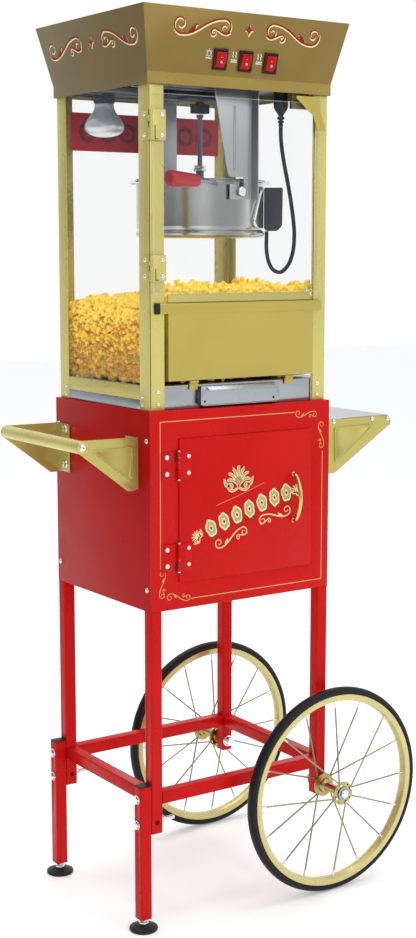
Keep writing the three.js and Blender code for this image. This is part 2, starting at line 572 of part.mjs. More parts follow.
function grip() {
  const start = new THREE.Vector3(...GRIP_START);
  const span = new THREE.Vector3(...GRIP_END).sub(start);
  const length = span.length();
  const profile = [
    [4.4, 0], [9.5, 0], [11, 2], [12.3, length * 0.5], [14, length - 12], [13.2, length - 5],
    [10, length - 1.5], [0, length], [0, 26], [4.4, 26], [4.4, 0],
  ].map(([r, l]) => new THREE.Vector2(r, l));
  const geometry = faceOut(new THREE.LatheGeometry(profile, 28));
  const up = new THREE.Vector3(0, 1, 0);
  const turn = new THREE.Quaternion().setFromUnitVectors(up, span.clone().normalize());
  return geometry.applyQuaternion(turn).translate(...GRIP_START);
}
add('kettle_grip', grip(), MATERIAL.redPlastic);

// Half lids, hinged either side of the agitator rod.
const LID = {
  z: KETTLE.rim + 0.4, thickness: 1.8, radius: KETTLE.radius - 0.5, split: 6, notch: 12, tab: 127,
};
function halfLid(side) {
  const shape = new THREE.Shape();
  const edge = Math.asin(LID.split / LID.radius);
  const neck = Math.asin(LID.split / LID.notch);
  const middle = side > 0 ? 0 : Math.PI;
  const at = (r, angle) => [KETTLE.x + r * Math.cos(angle), r * Math.sin(angle)];
  const quarter = Math.PI / 2;
  shape.moveTo(...at(LID.radius, middle - quarter + edge));
  shape.absarc(KETTLE.x, 0, LID.radius, middle - quarter + edge, middle - 0.13, false);
  shape.lineTo(...at(LID.tab, middle - 0.1));
  shape.lineTo(...at(LID.tab, middle + 0.1));
  shape.absarc(KETTLE.x, 0, LID.radius, middle + 0.13, middle + quarter - edge, false);
  shape.absarc(KETTLE.x, 0, LID.notch, middle + quarter - neck, middle - quarter + neck, true);
  return alongZ(shape, LID.z, LID.z + LID.thickness, 16);
}
add('kettle_lid_left', halfLid(-1), MATERIAL.steel);
add('kettle_lid_right', halfLid(1), MATERIAL.steel);

// Plug-in connector on the kettle's front right.
const CONNECTOR = {
  angle: rad(-38), inner: KETTLE.radius + 1, outer: 147, halfWidth: 12, bottom: 1199, top: 1274.5,
};
const connectorShape = outline([
  [CONNECTOR.inner, CONNECTOR.bottom + 5], [CONNECTOR.inner + 4, CONNECTOR.bottom],
  [CONNECTOR.outer - 10, CONNECTOR.bottom], [CONNECTOR.outer - 1, CONNECTOR.bottom + 9],
  [CONNECTOR.outer, CONNECTOR.top], [CONNECTOR.inner, CONNECTOR.top]]);
add('kettle_connector', alongY(connectorShape, -CONNECTOR.halfWidth, CONNECTOR.halfWidth)
  .rotateZ(CONNECTOR.angle).translate(KETTLE.x, 0, 0), MATERIAL.black);

// ---- agitator and its drive ----
const ROD = { radius: 4.3, bottom: 1193, top: 1401.5, collar: 1303.5 };
const agitatorRod = turned([
  [0, ROD.bottom], [8, ROD.bottom], [8, ROD.bottom + 10], [ROD.radius, ROD.bottom + 12],
  [ROD.radius, LID.z + 4], [7, LID.z + 5], [7, ROD.collar], [ROD.radius, ROD.collar],
  [ROD.radius, ROD.top], [0, ROD.top],
], KETTLE.x, 0, 16);
const collar = cylinder(11.5, [KETTLE.x, 0, ROD.collar - 0.5], [KETTLE.x, 0, ROD.collar + 10.5], 6);
const arm = box(KETTLE.x - 90, KETTLE.x + 90, -4, 4, ROD.bottom, ROD.bottom + 3);
const crossArm = box(KETTLE.x - 4, KETTLE.x + 4, -60, 60, ROD.bottom + 2, ROD.bottom + 5);
add('agitator', union(agitatorRod, collar, arm, crossArm), MATERIAL.steel);

const MOTOR = { half: 32, bottom: 1433 };
add('drive_chuck', union(
  box(KETTLE.x - 15, KETTLE.x + 15, -9, 9, ROD.top + 2, 1420),
  cylinder(7, [KETTLE.x, 0, 1419], [KETTLE.x, 0, MOTOR.bottom - 0.5], 16)), MATERIAL.black);
add('motor_housing', box(KETTLE.x - MOTOR.half, KETTLE.x + MOTOR.half, -MOTOR.half, MOTOR.half,
  MOTOR.bottom, ceilingZ - GAP), MATERIAL.black);

// ---- hangers that carry the kettle's pins ----
const HANGER = {
  y: 117.3, thickness: 2, flange: 21, right: 47, topLeft: -30, bottom: 1251, seatBottom: 1258.5,
  channelBottom: 1277, channelTop: 1289,
};
function hanger(side) {
  const y0 = side * HANGER.y;
  const y1 = side * (HANGER.y + HANGER.thickness);
  const y2 = side * (HANGER.y + HANGER.flange);
  const top = ceilingZ - GAP;
  const { right, bottom, channelBottom, channelTop } = HANGER;
  const plate = alongY(outline([
    [0, bottom], [right, bottom], [right, top], [HANGER.topLeft, top], [HANGER.topLeft, 1425], [-5, 1297],
    [0, channelTop],
  ]), Math.min(y0, y1), Math.max(y0, y1));
  const fold = box(right - SHEET, right, Math.min(y0, y2), Math.max(y0, y2), bottom, top);
  const [near, far] = [side * 90 - 40, side * 90 + 40];
  const channel = box(-20, KETTLE.pivotX + 6.5, near, far, channelBottom, channelTop);
  const seat = box(KETTLE.pivotX - 6.5, KETTLE.pivotX + 6.5, near, far, HANGER.seatBottom, channelTop - 1);
  return cut(union(plate, fold), channel, seat);
}
add('hanger_front', hanger(-1), MATERIAL.steel);
add('hanger_back', hanger(1), MATERIAL.steel);

// ---- lamp ----
const LAMP = { x: -138, y: 65 };
add('lamp', turned([
  [0, 1360], [12, 1360.8], [24, 1364], [32, 1369], [35, 1376], [34, 1382], [28, 1392], [19, 1404],
  [16.5, 1412], [16.5, 1418], [19, 1419], [19, ceilingZ - GAP], [0, ceilingZ - GAP],
], LAMP.x, LAMP.y), MATERIAL.bulb);

// ---- kettle cord and the fitting it hangs from ----
const OUTLET = { x: 120, y: -103 };
add('cord_outlet', turned([
  [0, 1379.5], [6, 1379.5], [7, 1384], [5.6, 1386], [7.4, 1390], [6, 1392], [8, 1396], [8, 1404], [13, 1406],
  [13, ceilingZ - GAP], [0, ceilingZ - GAP],
], OUTLET.x, OUTLET.y, 20), MATERIAL.black);
const cordEnd = new THREE.Vector3(118.5, 0, 0).applyAxisAngle(new THREE.Vector3(0, 0, 1), CONNECTOR.angle);
const CORD_POINTS = [
  [OUTLET.x, OUTLET.y, 1379], [OUTLET.x, OUTLET.y, 1366], [122, -103, 1345], [128, -103, 1315],
  [136, -103, 1283], [143, -103, 1252], [149.5, -102, 1220], [153, -101, 1190], [151, -99, 1160],
  [143.5, -95, 1138], [131, -90, 1126.5], [119, -84, 1131], [112.5, -78, 1148], [111.5, -74, 1170],
  [cordEnd.x + KETTLE.x, cordEnd.y, 1186], [cordEnd.x + KETTLE.x, cordEnd.y, CONNECTOR.bottom - GAP],
];
add('kettle_cord', rodAlong(CORD_POINTS, 3.2, 40), MATERIAL.rubber);

// ---- popcorn heap ----
const HEAP = { halfX: 176, front: -134, back: 144, bottom: POPPER.deck + GAP, low: 1068, crown: 26 };
const heap = new THREE.BoxGeometry(HEAP.halfX * 2, HEAP.back - HEAP.front, 100, 8, 8, 1);
heap.translate(0, (HEAP.front + HEAP.back) / 2, HEAP.bottom + 50);
const heapPosition = heap.attributes.position;
for (let i = 0; i < heapPosition.count; i += 1) {
  if (heapPosition.getZ(i) > HEAP.bottom + 60) {
    const across = Math.cos((heapPosition.getX(i) / HEAP.halfX) * 1.3);
    const wave = Math.sin(heapPosition.getX(i) * 0.045) * Math.cos(heapPosition.getY(i) * 0.05);
    heapPosition.setZ(i, HEAP.low + HEAP.crown * across + 4 * wave);
  }
}
add('popcorn_heap', heap, MATERIAL.popcorn);

export default group;
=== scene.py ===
"""Looks for the popcorn cart: materials, detail pieces, popcorn, cord, lights and camera.

Everything is in metres in the CAD frame: +Z up, front towards -Y, push handle at -X, wheels at +X.
Shapes and places are plain numbers in the CAD's millimetres, which `at` and MM turn into metres; the lights'
places and sizes are in metres.
"""
import json
import math
import random

import bmesh
import bpy
from mathutils import Matrix, Vector, noise


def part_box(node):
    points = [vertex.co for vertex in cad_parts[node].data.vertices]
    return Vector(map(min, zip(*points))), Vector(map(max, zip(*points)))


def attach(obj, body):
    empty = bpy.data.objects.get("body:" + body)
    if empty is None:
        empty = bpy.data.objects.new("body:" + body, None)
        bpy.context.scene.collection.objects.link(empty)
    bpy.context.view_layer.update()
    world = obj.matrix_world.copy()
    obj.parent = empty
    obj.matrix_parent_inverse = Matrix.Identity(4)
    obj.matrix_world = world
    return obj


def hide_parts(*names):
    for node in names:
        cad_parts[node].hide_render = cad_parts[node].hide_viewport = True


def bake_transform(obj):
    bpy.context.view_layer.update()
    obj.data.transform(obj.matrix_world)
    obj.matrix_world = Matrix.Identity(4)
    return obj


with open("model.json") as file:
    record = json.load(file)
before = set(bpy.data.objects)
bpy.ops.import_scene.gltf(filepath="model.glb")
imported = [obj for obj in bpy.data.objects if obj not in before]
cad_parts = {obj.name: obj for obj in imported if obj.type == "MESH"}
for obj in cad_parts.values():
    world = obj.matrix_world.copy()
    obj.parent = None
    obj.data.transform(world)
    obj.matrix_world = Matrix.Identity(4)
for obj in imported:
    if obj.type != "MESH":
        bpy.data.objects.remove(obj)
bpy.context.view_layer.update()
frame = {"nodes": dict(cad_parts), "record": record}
random.seed(7)

MM = 0.001
CART = "cart"
LEFT, RIGHT, FRONT, BACK, UP, DOWN = (-1, 0, 0), (1, 0, 0), (0, -1, 0), (0, 1, 0), (0, 0, 1), (0, 0, -1)
ENDS = (("front", -1), ("back", 1))


class Box:
    """A CAD node's box at rest, with its sides and middle as plain numbers."""

    def __init__(self, node):
        low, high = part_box(node)
        self.x0, self.y0, self.z0 = low
        self.x1, self.y1, self.z1 = high
        self.x = (self.x0 + self.x1) / 2
        self.y = (self.y0 + self.y1) / 2
        self.z = (self.z0 + self.z1) / 2


cabinet_x = Box("cabinet_front_frame").x    # the cabinet's middle line, where the CAD's own x is 0


def at(x, y, z):
    """A point given in the CAD's millimetres, about the cabinet's middle line."""
    return Vector((cabinet_x + x * MM, y * MM, z * MM))


def new_object(name, data):
    obj = bpy.data.objects.new(name, data)
    bpy.context.scene.collection.objects.link(obj)
    return obj


# -------------------- camera and light

def make_camera():
    look_down, turn = 8.18, -34.3
    data = bpy.data.cameras.new("camera")
    data.lens = 58.72
    data.sensor_width = 36
    camera = new_object("camera", data)
    camera.location = at(-1524.1, -2287.4, 1167.2)
    camera.rotation_euler = (math.radians(90 - look_down), 0, math.radians(turn))
    bpy.context.scene.camera = camera


def area_light(name, place, target, size, watts):
    data = bpy.data.lights.new(name, "AREA")
    data.shape = "RECTANGLE"
    data.size, data.size_y = size
    data.energy = watts
    light = new_object(name, data)
    light.location = place
    light.rotation_euler = (Vector(target) - Vector(place)).to_track_quat("-Z", "Y").to_euler()


def make_lights():
    """A white studio: soft from the front, the right and above, and dimmer from the push handle's side."""
    bpy.context.scene.view_settings.view_transform = "Standard"
    world = bpy.data.worlds.new("studio")
    world.use_nodes = True
    tree = world.node_tree
    direction = add_node(tree, "TexCoord").outputs["Generated"]
    across = add_node(tree, "SeparateXYZ", Vector=direction).outputs["X"]
    background = tree.nodes["Background"]
    background.inputs["Color"].default_value = (1, 1, 1, 1)
    tree.links.new(remap(tree, across, (-1.0, 0.1), (0.2, 1.0)), background.inputs["Strength"])
    bpy.context.scene.world = world
    area_light("key", (0.2, -3.6, 3.0), (0, 0, 0.9), (2.6, 2.2), 18)
    area_light("top", (0, 0.4, 3.8), (0, 0, 0), (3.0, 3.0), 70)


# -------------------- materials

def set_inputs(node, sockets):
    """Sets a node's sockets, named with underscores for spaces, to values or links them to outputs."""
    for socket, value in sockets.items():
        target = node.inputs[socket.replace("_", " ")]
        if isinstance(value, bpy.types.NodeSocket):
            node.id_data.links.new(value, target)
        else:
            target.default_value = value


def add_node(tree, kind, **sockets):
    node = tree.nodes.new(f"ShaderNode{kind}")
    set_inputs(node, sockets)
    return node


def remap(tree, value, source, target):
    """Maps a value from one range to another."""
    node = add_node(tree, "MapRange", Value=value, From_Min=source[0], From_Max=source[1], To_Min=target[0],
                    To_Max=target[1])
    return node.outputs["Result"]


def shader_inputs(material, **sockets):
    set_inputs(material.node_tree.nodes["Principled BSDF"], sockets)


def new_material(name, colour, roughness, metallic=0.0, **sockets):
    """A Principled material with further sockets as given."""
    material = bpy.data.materials.new(name)
    material.use_nodes = True
    material.diffuse_color = (*colour, 1)
    shader_inputs(material, Base_Color=(*colour, 1), Roughness=roughness, Metallic=metallic, **sockets)
    return material


def noise_value(material, scale, detail=3.0, stretch=(1, 1, 1)):
    tree = material.node_tree
    place = add_node(tree, "TexCoord").outputs["Object"]
    stretched = add_node(tree, "Mapping", Vector=place, Scale=stretch).outputs["Vector"]
    return add_node(tree, "TexNoise", Vector=stretched, Scale=scale, Detail=detail).outputs["Fac"]


def vary_colour(material, value, stops):
    """Colours a material along a ramp; stops are (position, colour), the two ends first."""
    node = add_node(material.node_tree, "ValToRGB", Fac=value)
    elements = node.color_ramp.elements
    for i, (position, colour) in enumerate(stops):
        element = elements[i] if i < 2 else elements.new(position)
        element.position = position
        element.color = (*colour, 1)
    shader_inputs(material, Base_Color=node.outputs["Color"])


def vary_shade(material, value, colour, spread, margin=0.3):
    """Makes a colour a little darker and lighter with a value."""
    vary_colour(material, value, [(margin, shade(colour, 1 - spread)),
                                  (1 - margin, shade(colour, 1 + spread))])


def vary_roughness(material, value, low, high):
    shader_inputs(material, Roughness=remap(material.node_tree, value, (0.3, 0.7), (low, high)))


def add_bump(material, value, strength, distance):
    bump = add_node(material.node_tree, "Bump", Strength=strength, Distance=distance, Height=value)
    shader_inputs(material, Normal=bump.outputs["Normal"])


def shade(colour, factor):
    return tuple(min(1.0, c * factor) for c in colour)


def painted(name, colour, metallic=0.0, roughness=0.28, coat=0.12, spread=0.06, specular=0.25):
    """Sprayed paint: faint orange peel, and a little unevenness in colour and gloss."""
    material = new_material(name, colour, roughness, metallic, Coat_Weight=coat, Coat_Roughness=0.12,
                            Specular_IOR_Level=specular)
    vary_shade(material, noise_value(material, 6.0), colour, spread)
    vary_roughness(material, noise_value(material, 22.0), roughness - 0.05, roughness + 0.07)
    add_bump(material, noise_value(material, 420.0, 2.0), 0.08, 0.0004)
    return material


def brushed(name, colour, roughness=0.25, stretch=(4, 4, 90), spread=0.08):
    """Bare metal with fine streaks along one direction and soft handling marks."""
    material = new_material(name, colour, roughness, 1.0)
    streaks = noise_value(material, 30.0, 4.0, stretch)
    vary_shade(material, streaks, colour, spread, 0.35)
    vary_roughness(material, noise_value(material, 12.0), roughness - 0.06, roughness + 0.08)
    add_bump(material, streaks, 0.06, 0.0003)
    return material


def moulded(name, colour, roughness=0.45, grain=900.0, specular=0.2):
    """Moulded plastic or rubber with a fine grain."""
    material = new_material(name, colour, roughness, Specular_IOR_Level=specular)
    broad = noise_value(material, 18.0)
    vary_shade(material, broad, colour, 0.12)
    vary_roughness(material, broad, roughness - 0.06, roughness + 0.08)
    add_bump(material, noise_value(material, grain, 2.0), 0.12, 0.0003)
    return material


def kettle_metal(name):
    """Spun steel with painted reflections: soft light and dark bands round the kettle, painted into its
    colour for a dark room mirrored in it.
    """
    material = new_material(name, (0.42, 0.42, 0.41), 0.24, 1.0)
    # the stops are the painted reflection bands, dark to light
    stops = [(0.30, (0.17, 0.175, 0.17)), (0.72, (0.80, 0.80, 0.79)), (0.46, (0.39, 0.395, 0.38)),
             (0.56, (0.59, 0.59, 0.58))]
    vary_colour(material, noise_value(material, 9.0, 1.0, (1.6, 1.6, 0.05)), stops)
    vary_roughness(material, noise_value(material, 12.0), 0.18, 0.3)
    add_bump(material, noise_value(material, 30.0, 4.0, (3, 3, 60)), 0.05, 0.0002)
    return material


def clear_sheet(name, tint, alpha):
    """Clear acrylic or glass, with a breath of haze."""
    material = new_material(name, tint, 0.03, Alpha=alpha, IOR=1.49, Specular_IOR_Level=0.25)
    vary_roughness(material, noise_value(material, 8.0), 0.03, 0.08)
    vary_colour(material, noise_value(material, 3.0), [(0.3, shade(tint, 0.96)), (0.7, tint)])
    return material


def popped_corn(name):
    """Popcorn: darker in the folds and cream on the puffs, from each kernel's own puff value; the dark folds
    are partly browned hulls and partly painted shade, and a faint glow is painted light.
    """
    cream, yellow = (1.0, 0.83, 0.13), (1.0, 0.66, 0.018)
    butter, toast_and_shade = (0.80, 0.39, 0.035), (0.32, 0.16, 0.04)
    # the faint yellow emission is a painted glow of light
    material = new_material(name, yellow, 0.7, Specular_IOR_Level=0.1, Emission_Color=(1.0, 0.70, 0.14, 1),
                            Emission_Strength=0.17)
    tree = material.node_tree
    puff = add_node(tree, "Attribute")
    puff.attribute_name = "puff"
    mixed = add_node(tree, "Math")
    mixed.operation = "MULTIPLY_ADD"
    mixed.inputs[1].default_value = 0.45
    tree.links.new(noise_value(material, 120.0, 4.0), mixed.inputs[0])
    tree.links.new(puff.outputs["Fac"], mixed.inputs[2])
    # low puff values, in the folds and on kernels low in the heap, take the darkest colour: partly browned
    # hull, partly painted shade
    stops = [(0.20, toast_and_shade), (1.0, cream), (0.38, butter), (0.58, yellow), (0.84, cream)]
    vary_colour(material, mixed.outputs["Value"], stops)
    vary_roughness(material, noise_value(material, 160.0), 0.5, 0.8)
    add_bump(material, noise_value(material, 520.0, 3.0), 0.3, 0.0008)
    return material


def make_materials():
    even = (20, 20, 20)
    return {
        "red": painted("red_enamel", (0.57, 0.006, 0.005), coat=0.04, specular=0.09),
        # a darker copy of the red enamel: painted shade for the left panel, which gets less light
        "red_painted_shade": painted("red_enamel_painted_shade", (0.44, 0.007, 0.007), roughness=0.32, coat=0.03,
                            specular=0.06),
        "gold": painted("gold_lacquer", (0.60, 0.53, 0.165), 0.4),
        "bracket": painted("gold_bracket", (0.52, 0.45, 0.125), 0.4, 0.3),
        "flap": painted("gold_flap", (0.48, 0.38, 0.082), 0.35, 0.34),
        # a lighter copy of the flap's gold for its lip, as painted light
        "flap_lip_painted_light": painted("gold_flap_lip", (0.50, 0.43, 0.14), 0.35, 0.34),
        # one bronze-gold paint in three copies: the ends darker as painted shade, the upright skirt lighter
        # as painted light
        "canopy": painted("bronze_gold", (0.25, 0.165, 0.036), 0.35, 0.34, spread=0.1),
        "canopy_end_painted_shade": painted("bronze_gold_end_painted_shade", (0.20, 0.150, 0.056), 0.35, 0.38, spread=0.1),
        "skirt": painted("bronze_gold_skirt_painted_light", (0.345, 0.245, 0.056), 0.35, 0.3, spread=0.1),
        "rim": painted("rim_gold", (0.62, 0.55, 0.23), 0.45, 0.26, coat=0.3),
        "bronze_dark": painted("dark_bronze", (0.16, 0.12, 0.035), 0.4, 0.4),
        "lamp": painted("lamp_silver", (0.76, 0.80, 0.86), 0.5, 0.3),
        "white": painted("white_screw", (0.80, 0.80, 0.82), 0.5, 0.22),
        "print_red": painted("print_red", (0.30, 0.008, 0.004), roughness=0.4),
        "print_cream": painted("print_cream", (0.90, 0.76, 0.42), roughness=0.4),
        "print_stripe": painted("print_stripe", (0.66, 0.36, 0.13), roughness=0.4),
        "print_white": painted("print_white", (0.85, 0.84, 0.78), roughness=0.4),
        # a near-black paint for the shade in the hinges' gaps
        "painted_gap_shade": painted("painted_gap_shade", (0.05, 0.01, 0.01), roughness=0.4),
        "print_gold": painted("print_gold", (0.46, 0.40, 0.17), roughness=0.4),
        "print_shadow": painted("print_shadow", (0.20, 0.03, 0.015), roughness=0.4),
        "band_red": painted("band_red", (0.52, 0.022, 0.030), roughness=0.4),
        "band_dark": painted("band_dark", (0.22, 0.016, 0.022), roughness=0.4),
        # a darker popcorn colour for the heap's core, painted shade seen in the gaps between kernels
        "corn_painted_shade": painted("popcorn_shade", (0.62, 0.24, 0.02), roughness=0.8, coat=0.0, spread=0.3),
        "steel": brushed("stainless_steel", (0.37, 0.385, 0.415), spread=0.05),
        "steel_dark": brushed("dull_steel", (0.20, 0.205, 0.215), 0.42, spread=0.03),
        "hanger": brushed("hanger_steel", (0.385, 0.405, 0.415), 0.42, spread=0.04),
        "shelf": brushed("shelf_steel", (0.50, 0.51, 0.53), 0.38, (60, 4, 4), 0.04),
        "chrome": brushed("bright_zinc", (0.78, 0.80, 0.83), 0.16, even, 0.05),
        "hub": brushed("hub_brass", (0.48, 0.39, 0.15), 0.22, even),
        "spoke": brushed("spoke_wire", (0.34, 0.32, 0.21), 0.3, even),
        "brass": brushed("bright_brass", (0.70, 0.52, 0.17), 0.16, even),
        "kettle": kettle_metal("kettle_steel_painted_reflections"),
        "black": moulded("black_plastic", (0.018, 0.018, 0.020)),
        "charcoal": moulded("charcoal_plastic", (0.045, 0.047, 0.052), 0.5),
        "tyre": moulded("tyre_rubber", (0.010, 0.010, 0.014), 0.42, 600.0),
        "cord": moulded("cord_rubber", (0.018, 0.020, 0.025), 0.5),
        "grip": moulded("red_grip", (0.41, 0.010, 0.016), 0.22, 300.0, 0.35),
        "rocker": moulded("red_rocker", (0.46, 0.008, 0.004), 0.25, 300.0, 0.12),
        "clear": clear_sheet("clear_acrylic", (0.34, 0.40, 0.48), 0.028),
        "edge": clear_sheet("acrylic_edge", (0.78, 0.88, 0.90), 0.45),
        "corn": popped_corn("popcorn"),
    }


make_camera()
make_lights()
MAT = make_materials()


# -------------------- mesh helpers

def piece(name, mesh, material, body):
    """Makes an object from a mesh or bmesh, gives it a material and lets it ride on a body."""
    if isinstance(mesh, bmesh.types.BMesh):
        work, mesh = mesh, bpy.data.meshes.new(name)
        work.to_mesh(mesh)
        work.free()
    obj = new_object(name, mesh)
    mesh.materials.clear()
    mesh.materials.append(MAT[material])
    if body:
        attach(obj, body)
    return obj


def smooth_by_angle(mesh, degrees=35):
    for polygon in mesh.polygons:
        polygon.use_smooth = True
    mesh.set_sharp_from_angle(angle=math.radians(degrees))


def bevelled(obj, width, segments=2, angle=40):
    """Rounds a piece's edges that are sharper than the angle, and smooths its shading."""
    bevel = obj.modifiers.new("edges", "BEVEL")
    bevel.width = width * MM
    bevel.segments = segments
    bevel.limit_method = "ANGLE"
    bevel.angle_limit = math.radians(angle)
    depsgraph = bpy.context.evaluated_depsgraph_get()
    mesh = bpy.data.meshes.new_from_object(obj.evaluated_get(depsgraph))
    obj.modifiers.clear()
    obj.data = mesh
    smooth_by_angle(mesh)
    return obj


def softened(node, material, width):
    """The CAD node's own shape with its sheet-metal edges rounded."""
    mesh = frame["nodes"][node].data.copy()
    mesh.transform(frame["nodes"][node].matrix_world)
    work = bmesh.new()
    work.from_mesh(mesh)
    bmesh.ops.remove_doubles(work, verts=work.verts, dist=1e-6)
    bmesh.ops.dissolve_limit(work, angle_limit=math.radians(2), verts=work.verts, edges=work.edges)
    work.to_mesh(mesh)
    work.free()
    obj = bevelled(piece(f"{node}_skin", mesh, material, BODY_OF[node]), width)
    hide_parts(node)
    return obj


def join_rings(work, rings, closed=False, caps=True):
    """Faces between neighbouring rings of vertices; a ring of one is a point, and caps shut both ends."""
    pairs = list(zip(rings, rings[1:]))
    if closed:
        pairs.append((rings[-1], rings[0]))
    for low, high in pairs:
        count = max(len(low), len(high))
        for i in range(count):
            j = (i + 1) % count
            if len(low) == len(high) > 1:
                work.faces.new((low[i], low[j], high[j], high[i]))
            elif len(high) > 1:
                work.faces.new((low[0], high[j], high[i]))
            elif len(low) > 1:
                work.faces.new((low[i], low[j], high[0]))
    if caps:
        work.faces.new(list(reversed(rings[0])))
        work.faces.new(rings[-1])


def lathe_mesh(profile, segments, closed=False):
    """Turns (radius, height) points about the Z axis."""
    work = bmesh.new()
    rings = []
    for r, h in profile:
        angles = [2 * math.pi * i / segments for i in range(segments if r else 1)]
        rings.append([work.verts.new((r * MM * math.cos(a), r * MM * math.sin(a), h * MM)) for a in angles])
    join_rings(work, rings, closed, False)
    bmesh.ops.recalc_face_normals(work, faces=work.faces)
    return work


def rounded_corner(before, corner, after, reach, steps):
    """Points on a curve that cuts a corner, from `reach` before it to `reach` after it."""
    a = corner + (before - corner).normalized() * reach
    b = corner + (after - corner).normalized() * reach
    return [(1 - t) ** 2 * a + 2 * t * (1 - t) * corner + t * t * b
            for t in (k / steps for k in range(steps + 1))]


def rounded_profile(profile, radius, closed):
    """Rounds a turned profile's corners so that its edges catch the light."""
    points = [Vector(p) for p in profile]
    count = len(points)
    result = []
    for i, corner in enumerate(points):
        if not closed and i in (0, count - 1):
            result.append(tuple(corner))
            continue
        before, after = points[i - 1], points[(i + 1) % count]
        reach = min(radius, (before - corner).length * 0.45, (after - corner).length * 0.45)
        result += [tuple(p) for p in rounded_corner(before, corner, after, reach, 3)]
    return result


def turned(name, profile, place, material, body=CART, axis=UP, segments=96, radius=0.8, closed=False):
    """A turned piece about an axis through a place, from (radius, height) points."""
    mesh = lathe_mesh(rounded_profile(profile, radius, closed), segments, closed)
    turn = Vector(UP).rotation_difference(Vector(axis).normalized()).to_matrix().to_4x4()
    mesh.transform(Matrix.Translation(place) @ turn)
    obj = piece(name, mesh, material, body)
    smooth_by_angle(obj.data, 40)
    return obj


def facing(place, normal, up=UP):
    """A matrix at a place whose Z is the normal and whose Y is as near up as it can be."""
    z = Vector(normal).normalized()
    x = Vector(up).cross(z).normalized()
    return Matrix.Translation(place) @ Matrix((x, z.cross(x), z)).transposed().to_4x4()


def add_prism(work, outline, low, high, matrix):
    """A flat outline, from height low to high."""
    join_rings(work, [[work.verts.new(matrix @ Vector((u * MM, v * MM, h * MM))) for u, v in outline]
                      for h in (low, high)])


def add_lathe(work, profile, segments, matrix):
    """Adds a turned solid to a bmesh, about the matrix's Z axis."""
    part = lathe_mesh(profile, segments)
    mesh = bpy.data.meshes.new("part")
    part.to_mesh(mesh)
    part.free()
    mesh.transform(matrix)
    work.from_mesh(mesh)
    bpy.data.meshes.remove(mesh)


def built(name, matrix, solids, material="chrome", body=CART, edge=0.4, segments=2):
    """One bevelled piece of several solids: (outline, low, high) is flat, (profile, segments) is turned."""
    work = bmesh.new()
    for shape, *rest in solids:
        add_solid = add_prism if len(rest) == 2 else add_lathe
        add_solid(work, shape, *rest, matrix)
    obj = piece(name, work, material, body)
    return bevelled(obj, edge, segments) if edge else obj


def rounded_rectangle(width, height, radius, steps=4):
    points = []
    for cx, cy, start in ((1, -1, -90), (1, 1, 0), (-1, 1, 90), (-1, -1, 180)):
        for k in range(steps + 1):
            angle = math.radians(start + 90 * k / steps)
            points.append((cx * (width / 2 - radius) + radius * math.cos(angle),
                           cy * (height / 2 - radius) + radius * math.sin(angle)))
    return points


def regular(count, radius, start=0.0):
    angles = [start + 2 * math.pi * i / count for i in range(count)]
    return [(radius * math.cos(a), radius * math.sin(a)) for a in angles]


# -------------------- fasteners and hinges

def screws(name, places, normal, body=CART, head=3.6, height=1.9, material="chrome"):
    """Pan-head screws with a cross recess, one joined piece for a group on one face."""
    dome = [(head * math.cos(math.radians(a)), 0.3 + (height - 0.3) * math.sin(math.radians(a)))
            for a in range(0, 75, 12)]
    rim_r, rim_h = dome[-1]
    profile = [(0, -0.2), (head, -0.2)] + dome + [(rim_r * 0.8, rim_h - 0.35), (0, rim_h - 0.7)]
    recess = rounded_rectangle(head * 0.992, head * 0.26, 0.2, 2)
    work = bmesh.new()
    for place in places:
        matrix = facing(place, normal)
        add_lathe(work, profile, 24, matrix)
        for turn in (0.4, 0.4 + math.pi / 2):
            add_prism(work, recess, height - 0.75, height - 0.45, matrix @ Matrix.Rotation(turn, 4, "Z"))
    smooth_by_angle(piece(name, work, material, body).data)


def leg_bolt(name, place):
    """A washer and a hex head on a leg's outer face, and a threaded end out of the inner one."""
    length, across, height = 74.0, 13.0, 5.3
    turns, reach = 14, 24.0                 # of the thread
    thread = [(0, -length)]
    for i in range(turns):
        z = reach * i / turns - length
        thread += [(3.4, z + 0.1), (4.0, z + reach / turns * 0.5)]
    thread += [(3.9, reach - length), (0, reach - length)]
    washer = [(0, 0.05), (across * 0.62, 0.05), (across * 0.62, 1.4), (0, 1.4)]
    tip = [(0, 1.3 + height), (across * 0.36, 1.3 + height), (across * 0.33, 1.9 + height),
           (0, 1.95 + height)]
    head = regular(6, across / math.sqrt(3), 0.3)
    built(name, facing(place, LEFT), [(washer, 32), (head, 1.4, 1.4 + height), (tip, 24), (thread, 20)],
          edge=0.35)


def hinge_leaf(name, place, normal, size, body, material, side, knuckles, thick, barrel, out, notch=0.0):
    """A hinge leaf lying on a face, with its share of the five knuckles along one edge.

    A notch leaves room beside the other leaf's knuckles, and a tab joins each of its own."""
    width, height = size
    pitch = height / 5
    half = pitch / 2 - 0.15
    work = bmesh.new()
    matrix = facing(place, normal)
    plate = rounded_rectangle(width - notch, height, 1.6)
    add_prism(work, plate, 0.05, thick, matrix @ Matrix.Translation((-side * notch / 2 * MM, 0, 0)))
    for k in knuckles:
        level = (-height / 2 + pitch * (k + 0.5)) * MM
        if notch:
            tab = rounded_rectangle(notch + 1, pitch - 0.4, 0.3)
            add_prism(work, tab, -0.6, thick,
                      matrix @ Matrix.Translation((side * (width - notch - 1) / 2 * MM, level, 0)))
        knuckle = [(0, -half), (barrel, -half), (barrel, half), (0, half)]
        centre = Matrix.Translation((side * width / 2 * MM, level, out * MM))
        add_lathe(work, knuckle, 20, matrix @ centre @ Matrix.Rotation(-math.pi / 2, 4, "X"))
    bevelled(piece(name, work, material, body), 0.3)


# -------------------- painted ornament

